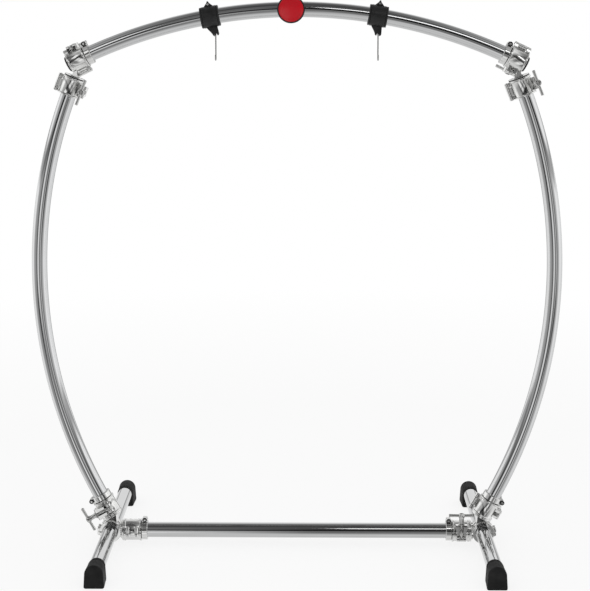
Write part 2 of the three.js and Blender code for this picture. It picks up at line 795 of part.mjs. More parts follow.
// Saddle round the bush: a pinched ear above, a forked lug below that holds the hook's pin.
// Local x points down, local z along the bar.
function hangerSaddle() {
  const half = bushLength / 2 - bushFlange - runningGap;
  const inner = around(bushRadius + saddleGap, barrelSides);
  const outer = bushRadius + saddleGap + saddleWall;
  const ear = onY(prism([
    new THREE.Vector2(-bushRadius, saddleEarHalfWidth),
    new THREE.Vector2(-saddleEarHeight + saddleScrewProud, saddleScrewProud),
    new THREE.Vector2(-saddleEarHeight, 0),
    new THREE.Vector2(-saddleEarHeight + saddleScrewProud, -saddleScrewProud),
    new THREE.Vector2(-bushRadius, -saddleEarHalfWidth),
  ], -saddleEarDepth / 2, saddleEarDepth / 2));
  const shift = saddleLugShift;
  const lug = onY(prism([
    new THREE.Vector2(bushRadius, -saddleLugTopHalfWidth),
    new THREE.Vector2(saddleLugDrop - saddleScrewProud, -saddleLugFootHalfWidth - shift),
    new THREE.Vector2(saddleLugDrop, -saddleLugFootHalfWidth + saddleScrewProud - shift),
    new THREE.Vector2(saddleLugDrop, saddleLugFootHalfWidth - saddleScrewProud - shift),
    new THREE.Vector2(saddleLugDrop - saddleScrewProud, saddleLugFootHalfWidth - shift),
    new THREE.Vector2(bushRadius, saddleLugTopHalfWidth),
  ], -saddleLugHalfDepth, saddleLugHalfDepth));
  const screwReach = saddleEarDepth / 2 + saddleScrewProud;
  const screw = onY(rod(saddleScrewRadius, -screwReach, screwReach, smallSides))
    .translate(-saddleEarHeight + 2 * saddleScrewRadius + saddleScrewProud, 0, 0);
  const earSlit = solid(box([-saddleEarHeight - overrun, -saddleEarSlit / 2, -saddleEarHalfWidth],
    [-bushRadius + overrun, saddleEarSlit / 2, saddleEarHalfWidth]));
  const shell = join(solid(rod(outer, -half, half)), solid(ear), solid(lug));
  const slotTop = saddleLugDrop - hookPinRise - hookEyeRadius - 2 * hookWireRadius;
  const slot = solid(box([slotTop, -saddleLugHalfDepth - overrun, shift - hookSlotHalfWidth],
    [saddleLugDrop + overrun, saddleLugHalfDepth + overrun, shift + hookSlotHalfWidth]));
  const pin = solid(rod(hookPinRadius, shift - saddleLugFootHalfWidth + overrun,
    shift + saddleLugFootHalfWidth - overrun, pinSides).translate(saddleLugDrop - hookPinRise, 0, 0));
  return join(cut(shell, solid(rod(inner, -half - overrun, half + overrun)), earSlit, slot),
    pin, solid(screw));
}

// Bent-wire hook: an eye round the pin, a straight shank, and a bend that opens to the front.
// Drawn about the pin, z up, in the plane X = 0.
class HookWire extends THREE.Curve {
  constructor() {
    super();
    this.sag = hookEyeRadius - hookWireRadius - hookPinRadius - hookPinGap;
    const eye = hookEyeTurn * hookEyeRadius;
    const shank = hookDrop - hookEyeRadius - hookBend - this.sag;
    const bend = Math.PI * hookBend;
    this.marks = [eye, eye + shank, eye + shank + bend, eye + shank + bend + hookTip];
  }

  getPoint(t, target = new THREE.Vector3()) {
    const [eye, shank, bend, tip] = this.marks;
    const run = t * tip;
    const low = -this.sag - hookEyeRadius;
    if (run <= eye) {
      const angle = hookEyeTurn - run / hookEyeRadius;
      return target.set(0, hookEyeRadius * Math.sin(angle), -this.sag - hookEyeRadius * Math.cos(angle));
    }
    if (run <= shank) return target.set(0, 0, low - (run - eye));
    const foot = low - (shank - eye);
    if (run <= bend) {
      const angle = (run - shank) / hookBend;
      return target.set(0, -hookBend + hookBend * Math.cos(angle), foot - hookBend * Math.sin(angle));
    }
    return target.set(0, -2 * hookBend, foot + (run - bend));
  }
}

function hook() {
  const shape = new THREE.Shape(roundPoints(hookWireRadius, hookSides));
  return new THREE.ExtrudeGeometry(shape, { steps: hookSteps, extrudePath: new HookWire() });
}

// Badge: a domed disc in a bezel, on a clip that grips the top bar
function badge() {
  const face = badgeRadius - badgeBezel;
  const back = tubeRadius + badgeStandOff;
  const front = back + badgeThickness;
  const profile = [
    new THREE.Vector2(0, back),
    new THREE.Vector2(badgeRadius - badgeRecess, back),
    new THREE.Vector2(badgeRadius, back + badgeRecess),
    new THREE.Vector2(badgeRadius, front - badgeRecess),
    new THREE.Vector2(badgeRadius - badgeRecess, front),
    new THREE.Vector2(face, front),
  ];
  for (let i = 0; i <= domeSteps; i += 1) {
    const angle = (Math.PI / 2) * (i / domeSteps);
    profile.push(new THREE.Vector2(
      face * Math.cos(angle), front - badgeRecess + badgeDome * Math.sin(angle)));
  }
  const disc = solid(new THREE.LatheGeometry(profile, badgeSides));
  const half = badgeClipLength / 2;
  const clip = cut(solid(rod(boreRadius + badgeClipWall, -half, half)),
    solid(box([-half, -bushFlangeRadius, -half - overrun], [half, 0, half + overrun])));
  const stem = solid(onY(rod(half, boreRadius, back + badgeRecess, barrelSides)));
  return cut(join(disc, clip, stem),
    solid(rod(around(boreRadius, barrelSides), -badgeRadius, badgeRadius)));
}

// The tubes
const postRings = [-1, 1].map((side) => {
  const angleAt = (height) => Math.asin((height - postArcCentreHeight) / postArcRadius);
  const reach = (clampLength / 2 - tubeEndGap) / postArcRadius;
  const from = angleAt(postFootClampHeight) - reach;
  const to = angleAt(postTopClampHeight) + reach;
  return side > 0
    ? new RingArc(-postArcCentreOffset, postArcCentreHeight, postArcRadius, from, to)
    : new RingArc(postArcCentreOffset, postArcCentreHeight, postArcRadius, Math.PI - from, Math.PI - to);
});
const barAngle = Math.asin(barClampReach / barArcRadius);
const barEndAngle = barAngle + (clampLength / 2 + tubeEndGap) / barArcRadius;
add(stand, 'top_bar', bentTube(new RingArc(0, barArcCentreHeight, barArcRadius,
  Math.PI / 2 + barEndAngle, Math.PI / 2 - barEndAngle)), 'chrome');
add(stand, 'post_left', bentTube(postRings[0]), 'chrome');
add(stand, 'post_right', bentTube(postRings[1]), 'chrome');
add(stand, 'brace_tube', straightTube(2 * (braceClampReach + clampLength / 2 - tubeEndGap))
  .rotateY(Math.PI / 2).translate(0, -ringSetForward, legAxisHeight), 'chrome');

// Pieces that come in a left and a right
const alongBar = (reach, shift) => onBar(
  barArcRadius * Math.sin(Math.asin(reach / barArcRadius) + shift / barArcRadius));
for (const [side, name] of [[-1, 'left'], [1, 'right']]) {
  add(stand, `leg_${name}`, straightTube(legTotalLength - 2 * (bootEndWall + tubeEndGap))
    .rotateX(Math.PI / 2).translate(side * legHalfSpread, 0, legAxisHeight), 'chrome');
  add(stand, `boot_front_${name}`, boot(-1).translate(side * legHalfSpread, 0, 0), 'rubber');
  add(stand, `boot_rear_${name}`, boot(1).translate(side * legHalfSpread, 0, 0), 'rubber');
  add(stand, `corner_${name}`, geometryOf(cornerBracket(side)), 'cast');
  add(stand, `hub_${name}`, geometryOf(hubBracket(side)), 'cast');

  const lock = geometryOf(memoryLock());
  const lockShift = clampLength / 2 + lockGap + lockLength / 2;
  const barSpot = alongBar(side * barClampReach, -side * lockShift);
  add(groupAt(frameAt(barSpot.place, across(barSpot.along).negate(), REAR)),
    `lock_bar_${name}`, lock, 'cast');
  const lift = lockShift * onPost(side, postFootClampHeight).along.z;
  const postSpot = onPost(side, postFootClampHeight + lift);
  add(groupAt(frameAt(postSpot.place, across(postSpot.along).multiplyScalar(side), REAR)),
    `lock_post_${name}`, lock.clone(), 'cast');
  const bracePlace = new THREE.Vector3(
    side * (braceClampReach - lockShift), -ringSetForward, legAxisHeight);
  add(groupAt(frameAt(bracePlace, UP, REAR)), `lock_brace_${name}`, lock.clone(), 'cast');

  const barEnd = onBar(side * barArcRadius * Math.sin(barEndAngle));
  const outward = barEnd.along.clone().multiplyScalar(side);
  add(groupAt(frameAt(barEnd.place, new THREE.Vector3().crossVectors(REAR, outward), REAR)),
    `bar_plug_${name}`, geometryOf(barPlug()), 'rubber');

  const hanger = onBar(side < 0 ? hangerReachLeft : hangerReachRight);
  const down = across(hanger.along);
  const hangerFrame = frameAt(hanger.place, down, REAR);
  const hangerGroup = groupAt(hangerFrame);
  add(hangerGroup, `hanger_bush_${name}`, geometryOf(hangerBush()), 'plastic');
  add(hangerGroup, `hanger_saddle_${name}`, geometryOf(hangerSaddle()), 'plastic');
  const pin = new THREE.Vector3(saddleLugDrop - hookPinRise, 0, saddleLugShift).applyMatrix4(hangerFrame);
  add(stand, `hook_${name}`, hook().translate(pin.x, pin.y, pin.z), 'chrome');
}
add(groupAt(braceFrame(-1)), 'brace_cap_left', geometryOf(braceCap()), 'cast');

const badgeSpot = onBar(badgeOffset);
add(groupAt(frameAt(badgeSpot.place, across(badgeSpot.along).negate(), FRONT)), 'badge',
  geometryOf(badge()), 'badge');

export default stand;
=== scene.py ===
"""Looks of a gong stand: bent chrome tubes held by hinged clamps on two booted legs.

Sizes are in millimetres. Each sub-assembly works its skins out in a local frame, and Piece
carries them to the stand's frame in metres.
"""

import logging
import math
from collections.abc import Sequence
from dataclasses import dataclass, field
from enum import Enum

import bmesh
import bpy
import numpy as np
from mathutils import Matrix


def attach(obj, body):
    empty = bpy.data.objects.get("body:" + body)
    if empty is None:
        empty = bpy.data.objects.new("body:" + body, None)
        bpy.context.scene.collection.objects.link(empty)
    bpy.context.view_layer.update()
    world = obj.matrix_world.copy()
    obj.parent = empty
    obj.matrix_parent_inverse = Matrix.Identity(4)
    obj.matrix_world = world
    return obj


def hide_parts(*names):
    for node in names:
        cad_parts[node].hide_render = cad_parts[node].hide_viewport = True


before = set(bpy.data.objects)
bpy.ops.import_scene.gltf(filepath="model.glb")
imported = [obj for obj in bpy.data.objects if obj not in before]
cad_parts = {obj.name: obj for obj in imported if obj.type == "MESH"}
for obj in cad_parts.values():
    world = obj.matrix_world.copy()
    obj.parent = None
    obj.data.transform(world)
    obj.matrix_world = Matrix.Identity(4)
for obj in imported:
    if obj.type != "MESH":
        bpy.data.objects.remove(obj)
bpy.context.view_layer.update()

logging.basicConfig(level=logging.INFO, format="%(message)s")
LOG = logging.getLogger("gong_stand")

MM = 0.001
TURN = 2.0 * math.pi
Array = np.ndarray
Skin = tuple[Array, list[list[int]]]
Shade = float | tuple[float, float, float]
Stops = tuple[tuple[float, Shade], ...]
Rows = tuple[tuple[float, float], ...]


# Places


@dataclass(frozen=True)
class Axes:
    """A local frame: x runs from hinge to bolt, y towards the nut, z along the tube."""

    origin: Array
    x: Array
    y: Array

    @property
    def z(self) -> Array:
        """The way along the tube: x crossed with y."""
        return np.cross(self.x, self.y)

    def place(self, points: Array) -> Array:
        """Carry local points, in millimetres, to the stand's frame.

        Args:
            points: any array whose last axis holds x, y and z.

        Returns:
            The same array in the stand's frame, in millimetres.
        """
        return self.origin + points @ np.stack([self.x, self.y, self.z])

    def end_towards(self, way: Array) -> int:
        """Which end of local z points along a given way, 1 or -1."""
        return 1 if float(np.dot(self.z, way)) > 0 else -1


RIGHT = np.array([1.0, 0.0, 0.0])
FRONT = np.array([0.0, -1.0, 0.0])
REAR = np.array([0.0, 1.0, 0.0])
UP = np.array([0.0, 0.0, 1.0])
MIRROR = np.array([1.0, -1.0])


def across(along: Array) -> Array:
    """The way in the ring's plane at right angles to a tube, to its right as it climbs."""
    return np.array([along[2], 0.0, -along[0]])


class Side(Enum):
    """Left or right as seen from the front."""

    LEFT = -1
    RIGHT = 1

    @property
    def word(self) -> str:
        """The side's name, as the CAD nodes spell it."""
        return self.name.lower()


@dataclass(frozen=True)
class Layout:
    """Sizes that place every tube and clamp, in millimetres."""

    tube_radius: float = 19.05
    tube_wall: float = 1.6
    ring_set_forward: float = 14.0
    post_arc_radius: float = 1235.0
    post_arc_height: float = 703.989
    post_arc_offset: float = 592.392
    bar_arc_radius: float = 1242.2
    bar_arc_height: float = 110.6
    bar_clamp_reach: float = 537.0
    post_top_height: float = 1164.517
    post_foot_height: float = 97.0
    leg_half_spread: float = 475.0
    leg_axis_height: float = 34.0
    leg_length: float = 660.0
    brace_reach: float = 418.0
    clamp_length: float = 44.0
    tube_end_gap: float = 0.6
    boot_end_wall: float = 6.0

    @property
    def bar_end_angle(self) -> float:
        """The angle of the bar's arc between its middle and an end, just past the clamp."""
        return (math.asin(self.bar_clamp_reach / self.bar_arc_radius)
                + (self.clamp_length / 2 + self.tube_end_gap) / self.bar_arc_radius)

    def bar_arc(self, angle: float | Array) -> tuple[Array, Array]:
        """The top bar's axis: an arc of the ring's top circle.

        Args:
            angle: one angle from the bar's middle to the right, or an array of them.

        Returns:
            The places (radius sin a, -set forward, height + radius cos a), and the ways along
            the bar to the right.
        """
        sine, cosine = np.sin(angle), np.cos(angle)
        level = np.zeros_like(sine)
        return (np.stack([self.bar_arc_radius * sine, level - self.ring_set_forward,
                          self.bar_arc_height + self.bar_arc_radius * cosine], axis=-1),
                np.stack([cosine, level, -sine], axis=-1))

    def post_arc(self, side: int, angle: float | Array) -> tuple[Array, Array]:
        """A post's axis: an arc of the ring's side circle.

        Args:
            side: 1 for the right post, -1 for the left.
            angle: one angle up from the circle's middle height, or an array of them.

        Returns:
            The places (side (radius cos a - offset), -set forward, height + radius sin a), and
            the ways up along the post.
        """
        sine, cosine = np.sin(angle), np.cos(angle)
        level = np.zeros_like(sine)
        return (np.stack([side * (self.post_arc_radius * cosine - self.post_arc_offset),
                          level - self.ring_set_forward,
                          self.post_arc_height + self.post_arc_radius * sine], axis=-1),
                np.stack([-side * sine, level, cosine], axis=-1))

    def on_bar(self, x: float, shift: float = 0.0) -> tuple[Array, Array]:
        """The place on the bar a length of arc past the one above x, and the way there."""
        return self.bar_arc(math.asin(x / self.bar_arc_radius) + shift / self.bar_arc_radius)

    def post_angle(self, height: float) -> float:
        """The angle on a post's arc at a height above the floor."""
        return math.asin((height - self.post_arc_height) / self.post_arc_radius)

    def on_post(self, side: int, height: float) -> tuple[Array, Array]:
        """The place on a post's axis at a height, and the way up along the post."""
        return self.post_arc(side, self.post_angle(height))

    def bar_clamp(self, side: int) -> Axes:
        """The frame of the clamp at one end of the top bar."""
        place, along = self.on_bar(side * self.bar_clamp_reach)
        return Axes(place, across(along) * side, REAR)

    def post_top(self, side: int) -> Axes:
        """The frame of the clamp at the top of a post."""
        place, along = self.on_post(side, self.post_top_height)
        return Axes(place, across(along), FRONT)

    def post_foot(self, side: int) -> Axes:
        """The frame of the clamp at the foot of a post.

        Args:
            side: 1 for the right post, -1 for the left.

        Returns:
            Its frame: the left clamp opens outwards, the right one to the rear.
        """
        place, along = self.on_post(side, self.post_foot_height)
        outward = across(along) * side
        return Axes(place, FRONT, outward) if side < 0 else Axes(place, outward, REAR)

    def brace_clamp(self, side: int) -> Axes:
        """The frame of the clamp at one end of the brace tube."""
        place = np.array([side * self.brace_reach, -self.ring_set_forward, self.leg_axis_height])
        return Axes(place, FRONT, UP)

    def hinged_clamps(self) -> dict[str, tuple[Axes, int]]:
        """The frame of every hinged clamp, and the end at which its jaw's liner has a lip.

        Returns:
            Frame and end by the clamp's name in the CAD nodes; end 0 stands for both ends.
        """
        made = {f"bar_{side.word}": (self.bar_clamp(side.value), 0) for side in Side}
        for side in Side:
            for name, axes, height, out in (
                    ("post_top", self.post_top(side.value), self.post_top_height, 1),
                    ("post_foot", self.post_foot(side.value), self.post_foot_height, -1)):
                along = self.on_post(side.value, height)[1]
                made[f"{name}_{side.word}"] = (axes, -axes.end_towards(out * along))
        brace = self.brace_clamp(1)
        made["brace_right"] = (brace, -brace.end_towards(RIGHT))
        return made

    def leg_place(self, side: int) -> Array:
        """The middle of a leg collar."""
        return np.array([side * self.leg_half_spread, -self.ring_set_forward,
                         self.leg_axis_height])


# Skins worked out as whole arrays


def grid_skin(points: Array, wrap_rows: bool = False) -> Skin:
    """A skin over a grid of points: each square of four neighbours is a face.

    The last column joins the first.

    Args:
        points: array of rows, columns and x, y, z.
        wrap_rows: the last row joins the first; else one face closes each of the two.

    Returns:
        The points as a list of rows of three, and the faces.
    """
    rows, cols = points.shape[:2]
    index = np.arange(rows * cols).reshape(rows, cols)
    if wrap_rows:
        index = np.vstack([index, index[:1]])
    index = np.hstack([index, index[:, :1]])
    quads = np.stack([index[:-1, :-1], index[1:, :-1], index[1:, 1:], index[:-1, 1:]], axis=-1)
    faces = quads.reshape(-1, 4).tolist()
    if not wrap_rows:
        faces.append(list(range(cols)))
        faces.append(list(range((rows - 1) * cols, rows * cols))[::-1])
    return points.reshape(-1, 3), faces


def round_z(radius: Array, angle: Array, height: Array) -> Array:
    """The points (radius cos a, radius sin a, height) of the grid that the three span."""
    return np.stack(np.broadcast_arrays(radius * np.cos(angle), radius * np.sin(angle),
                                        height), axis=-1)


def mirrored(points: Array) -> Array:
    """Points, then their images across the first axis, from the last to the first."""
    return np.vstack([points, (points * MIRROR)[::-1]])


def turned(profile: Array, sides: int = 48, start: float = 0.0, end: float = TURN) -> Skin:
    """A closed profile of (radius, z) carried round local z.

    A point is (radius cos a, radius sin a, z) for each angle a from start to end.

    Args:
        profile: a closed loop of radius and z.
        sides: steps round a full turn.
        start: first angle.
        end: last angle; a full turn closes on itself.

    Returns:
        The skin, with flat ends where the turn isn't full.
    """
    full = abs(end - start - TURN) < 1e-6
    steps = max(3, round(sides * (end - start) / TURN))
    angle = np.linspace(start, end, steps + 1)[: steps if full else steps + 1][:, None]
    return grid_skin(round_z(profile[:, 0], angle, profile[:, 1]), wrap_rows=full)


def spun(profile: Array, sides: int = 32) -> Skin:
    """An open profile of (radius, z), carried round local z and closed by a flat face at each end.

    A point is (radius cos a, radius sin a, z), so rows run along the profile.

    Args:
        profile: radius and z from one end to the other.
        sides: steps round a full turn.

    Returns:
        The closed skin.
    """
    angle = np.linspace(0.0, TURN, sides, endpoint=False)[None, :]
    return grid_skin(round_z(profile[:, 0:1], angle, profile[:, 1:2]))


def chamfered(radius: float, low: float, high: float, cut: float) -> Array:
    """The profile of a rod from low to high with its two rims cut back at 45 degrees."""
    return np.array([[radius - cut, low], [radius, low + cut],
                     [radius, high - cut], [radius - cut, high]])


def rounded(radius: float, low: float, high: float, edge: float, steps: int = 5) -> Array:
    """The profile of a rod whose rims are quarter circles of radius edge.

    Args:
        radius: the rod's radius.
        low: first z.
        high: last z.
        edge: the rims' radius.
        steps: points on each rim.

    Returns:
        Radius and z from the first end to the last.
    """
    angle = np.linspace(0.0, math.pi / 2, steps)
    foot = np.stack([radius - edge + edge * np.sin(angle),
                     low + edge - edge * np.cos(angle)], axis=-1)
    top = np.stack([radius - edge + edge * np.cos(angle),
                    high - edge + edge * np.sin(angle)], axis=-1)
    return np.vstack([foot, top])


def sleeve(inner: float, outer: float, low: float, high: float, cut: float = 0.4) -> Array:
    """The closed profile of a plain ring with its four rims cut back at 45 degrees.

    Args:
        inner: the bore's radius.
        outer: the outer radius.
        low: first z.
        high: last z.
        cut: how far the rims are cut back.

    Returns:
        A closed loop of radius and z.
    """
    return np.array([[inner, low + cut], [inner + cut, low], [outer - cut, low],
                     [outer, low + cut], [outer, high - cut], [outer - cut, high],
                     [inner + cut, high], [inner, high - cut]])


def prism(outline: Array, low: float, high: float) -> Skin:
    """An outline in local x and y, carried straight from z = low to z = high."""
    rows = [np.column_stack([outline, np.full(len(outline), z)]) for z in (low, high)]
    return grid_skin(np.stack(rows))


def upright(outline: Array, low: float, high: float) -> Skin:
    """An outline in local x and z, carried straight from y = low to y = high."""
    points, faces = prism(outline, low, high)
    return points[:, [0, 2, 1]], faces


def block(low: Sequence[float], high: Sequence[float]) -> Skin:
    """A block between two corners, as a rectangle carried along z.

    Args:
        low: the lowest corner.
        high: the highest corner.

    Returns:
        The closed skin.
    """
    outline = np.array([[low[0], low[1]], [high[0], low[1]], [high[0], high[1]],
                        [low[0], high[1]]])
    return prism(outline, low[2], high[2])


def piped(path: Array, profile: Array, side_way: Array) -> Skin:
    """A closed profile of (u, v) carried along a path.

    At each point of the path u runs along the side way, made square to the path's tangent, and
    v along tangent x u. Tangents are the differences of neighbouring points.

    Args:
        path: points along the way, rows of three.
        profile: closed loop of u and v.
        side_way: a way that is never along the path.

    Returns:
        The closed skin.
    """
    tangent = np.gradient(path, axis=0)
    tangent /= np.linalg.norm(tangent, axis=1, keepdims=True)
    side = side_way - tangent * (tangent @ side_way)[:, None]
    side /= np.linalg.norm(side, axis=1, keepdims=True)
    lift = np.cross(tangent, side)
    points = (path[:, None, :] + profile[None, :, 0:1] * side[:, None, :]
              + profile[None, :, 1:2] * lift[:, None, :])
    return grid_skin(points)


def circle(radius: float, sides: int, centre: tuple[float, float] = (0.0, 0.0),
           start: float = 0.0, end: float = TURN) -> Array:
    """Points of a circle or of an arc of it: centre + radius (cos a, sin a).

    Args:
        radius: the circle's radius.
        sides: how many points.
        centre: its middle.
        start: first angle.
        end: last angle; a full turn leaves its last point out.

    Returns:
        The points, in rows of two.
    """
    full = abs(end - start - TURN) < 1e-6
    angle = np.linspace(start, end, sides, endpoint=not full)
    return np.column_stack([centre[0] + radius * np.cos(angle),
                            centre[1] + radius * np.sin(angle)])


def turn_skin(skin: Skin, axes: Axes) -> Skin:
    """A skin carried from local axes to the frame that holds them."""
    return axes.place(skin[0]), skin[1]


def shift_skin(skin: Skin, x: float = 0.0, y: float = 0.0, z: float = 0.0) -> Skin:
    """A skin moved by a local step."""
    return skin[0] + np.array([x, y, z]), skin[1]


# Frames that leave local z as it is, lay it along y, or point it to the front
NO_TURN = Axes(np.zeros(3), RIGHT, REAR)
Z_TO_Y = Axes(np.zeros(3), RIGHT, -UP)
Z_TO_FRONT = Axes(np.zeros(3), RIGHT, UP)


class Piece:
    """One visible piece: closed skins gathered into one mesh object."""

    def __init__(self, name: str, axes: Axes = NO_TURN) -> None:
        """Start an empty piece.

        Args:
            name: the object's name.
            axes: the local frame that its skins are given in.
        """
        self.name = name
        self.axes = axes
        self.skins: list[Skin] = []

    def add(self, *skins: Skin) -> "Piece":
        """Add closed skins, given in the piece's local frame in millimetres."""
        self.skins.extend(skins)
        return self

    def mesh(self, sharp: float) -> bpy.types.Mesh:
        """The skins as one mesh in metres, with doubles merged and every face outwards.

        Args:
            sharp: edges with a larger angle than this, in degrees, stay crisp.

        Returns:
            The mesh, smoothly shaded.
        """
        points, faces, count = [], [], 0
        for skin_points, skin_faces in self.skins:
            points.append(skin_points)
            faces.extend([[i + count for i in face] for face in skin_faces])
            count += len(skin_points)
        mesh = bpy.data.meshes.new(self.name)
        mesh.from_pydata((self.axes.place(np.vstack(points)) * MM).tolist(), [], faces)
        shell = bmesh.new()
        shell.from_mesh(mesh)
        bmesh.ops.remove_doubles(shell, verts=shell.verts, dist=1e-7)
        bmesh.ops.recalc_face_normals(shell, faces=shell.faces)
        shell.to_mesh(mesh)
        shell.free()
        mesh.shade_smooth()
        mesh.set_sharp_from_angle(angle=math.radians(sharp))
        return mesh

    def finish(self, body: str, slot: str, finish: "Finish", nodes: Sequence[str] = (),
               bevel: float = 0.0, sharp: float = 32.0) -> bpy.types.Object:
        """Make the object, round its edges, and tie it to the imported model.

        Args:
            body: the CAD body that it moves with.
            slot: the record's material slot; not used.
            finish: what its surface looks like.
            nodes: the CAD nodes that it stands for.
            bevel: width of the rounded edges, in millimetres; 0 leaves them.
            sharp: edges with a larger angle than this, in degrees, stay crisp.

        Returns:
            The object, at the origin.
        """
        mesh = self.mesh(sharp)
        piece = bpy.data.objects.new(self.name, mesh)
        bpy.context.scene.collection.objects.link(piece)
        if bevel > 0.0:
            edge = piece.modifiers.new("rounded_edges", "BEVEL")
            edge.width = bevel * MM
            edge.segments = 2
            edge.limit_method = "ANGLE"
            edge.angle_limit = math.radians(sharp)
            edge.use_clamp_overlap = True
            edge.harden_normals = True
        mesh.materials.append(finish.material())
        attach(piece, body)
        if nodes:
            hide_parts(*nodes)
        LOG.info("%s: %d faces on %s", self.name, len(mesh.polygons), body)
        return piece


# Finishes


class Wiring:
    """A node tree, with short ways to add and join its nodes."""

    def __init__(self, tree: bpy.types.NodeTree) -> None:
        """Take the tree that is to be filled."""
        self.tree = tree

    def feed(self, node: bpy.types.Node, inputs: dict[str | int, object]) -> bpy.types.Node:
        """Link or set inputs of a node.

        Args:
            node: the node.
            inputs: for each socket, by name or number, an output to link or a value to set.

        Returns:
            The same node.
        """
        for name, value in inputs.items():
            if isinstance(value, bpy.types.NodeSocket):
                self.tree.links.new(value, node.inputs[name])
            else:
                node.inputs[name].default_value = value
        return node

    def node(self, kind: str, inputs: dict[str | int, object] | None = None) -> bpy.types.Node:
        """Add a node of a kind, named as Blender does after ShaderNode, and feed it."""
        return self.feed(self.tree.nodes.new(f"ShaderNode{kind}"), inputs or {})

    def math(self, operation: str, *values: object) -> bpy.types.NodeSocket:
        """The result of a sum done by the nodes.

        Args:
            operation: the sum's kind, as Blender names it.
            values: one, two or three numbers or outputs.

        Returns:
            The result's socket.
        """
        made = self.node("Math", dict(enumerate(values)))
        made.operation = operation
        return made.outputs["Value"]

    def spread(self, value: bpy.types.NodeSocket, low: float, high: float, first: float = 0.0,
               last: float = 1.0) -> bpy.types.NodeSocket:
        """Carry a value from between low and high to between first and last."""
        return self.node("MapRange", {"Value": value, "From Min": low, "From Max": high,
                                      "To Min": first, "To Max": last}).outputs["Result"]

    def ramp(self, value: bpy.types.NodeSocket, stops: Stops) -> bpy.types.NodeSocket:
        """A ramp of colours, read at a value.

        Args:
            value: where it is read, from 0 to 1.
            stops: places from 0 to 1, each with its grey or its red, green and blue.

        Returns:
            The colour's socket.
        """
        made = self.node("ValToRGB", {"Fac": value})
        elements = made.color_ramp.elements
        colours = [(at, (*(shade if isinstance(shade, tuple) else (shade,) * 3), 1.0))
                   for at, shade in stops]
        for element, (at, colour) in zip(elements, (colours[0], colours[-1])):
            element.position, element.color = at, colour
        for at, colour in colours[1:-1]:
            elements.new(at).color = colour
        return made.outputs["Color"]

    def blend(self, kind: str, share: bpy.types.NodeSocket, first: bpy.types.NodeSocket,
              second: bpy.types.NodeSocket) -> bpy.types.NodeSocket:
        """Blend two colours: MIX, or MULTIPLY.

        Args:
            kind: the way that the second is laid over the first.
            share: how much of it is laid over.
            first: the colour underneath.
            second: the colour on top.

        Returns:
            The blend's socket.
        """
        made = self.node("Mix")
        made.data_type = "RGBA"
        made.blend_type = kind
        return self.feed(made, {"Factor": share, "A": first, "B": second}).outputs["Result"]

    def choose(self, share: bpy.types.NodeSocket, first: bpy.types.NodeSocket,
               second: bpy.types.NodeSocket) -> bpy.types.NodeSocket:
        """The first shader where share is 0, the second where it is 1."""
        return self.node("MixShader", {"Fac": share, 1: first, 2: second}).outputs["Shader"]


GLOSS_RANGE = (0.45, 0.9)
SCUFF_RANGE = (0.42, 0.72)
GRAIN_SHARE = 0.3
NOISE_ROUGHNESS = 0.55


@dataclass(frozen=True)
class Finish:
    """A surface: its colour, gloss, and the fine unevenness of both.

    Attributes:
        name: the material's name.
        colour: base colour.
        metal: 1 for metal, 0 for plastic, rubber and enamel.
        gloss: lowest roughness.
        dull: highest roughness, in the duller patches.
        patch_scale: patches of gloss per metre.
        grain_scale: bumps per metre.
        grain_depth: height of the bumps, in millimetres.
        scuff: a colour that the patches drift towards.
        scuff_share: how far they drift, 0 to 1.
        coat: strength of a clear coat.
        shine: specular level of a surface that isn't metal.
    """

    name: str
    colour: tuple[float, float, float]
    metal: float
    gloss: float
    dull: float
    patch_scale: float
    grain_scale: float
    grain_depth: float
    scuff: tuple[float, float, float]
    scuff_share: float
    coat: float = 0.0
    shine: float = 0.5

    def material(self) -> bpy.types.Material:
        """The material, made once for every piece that shares the finish.

        Roughness drifts from gloss to dull with a broad noise, broken up by a fine one. The
        colour drifts a little towards the scuffed one with the broad noise, and the fine one
        makes the bumps.

        Returns:
            A Principled material over noise on Object coordinates.
        """
        made = bpy.data.materials.get(self.name)
        if made is not None:
            return made
        made = bpy.data.materials.new(self.name)
        made.use_nodes = True
        wiring = Wiring(made.node_tree)
        place = wiring.node("TexCoord").outputs["Object"]
        patches, grain = (
            wiring.node("TexNoise", {"Vector": place, "Scale": scale, "Detail": detail,
                                     "Roughness": NOISE_ROUGHNESS}).outputs["Fac"]
            for scale, detail in ((self.patch_scale, 4.0), (self.grain_scale, 3.0)))
        worn = tuple(c + (s - c) * self.scuff_share for c, s in zip(self.colour, self.scuff))
        wiring.feed(made.node_tree.nodes["Principled BSDF"], {
            "Metallic": self.metal,
            "Specular IOR Level": self.shine,
            "Coat Weight": self.coat,
            "Coat Roughness": self.gloss / 2,
            "Roughness": wiring.spread(
                wiring.math("MULTIPLY_ADD", grain, GRAIN_SHARE, patches), *GLOSS_RANGE,
                self.gloss, self.dull),
            "Base Color": wiring.ramp(patches, tuple(zip(SCUFF_RANGE, (self.colour, worn)))),
            "Normal": wiring.node("Bump", {"Strength": 1.0, "Distance": self.grain_depth * MM,
                                           "Height": grain}).outputs["Normal"]})
        return made


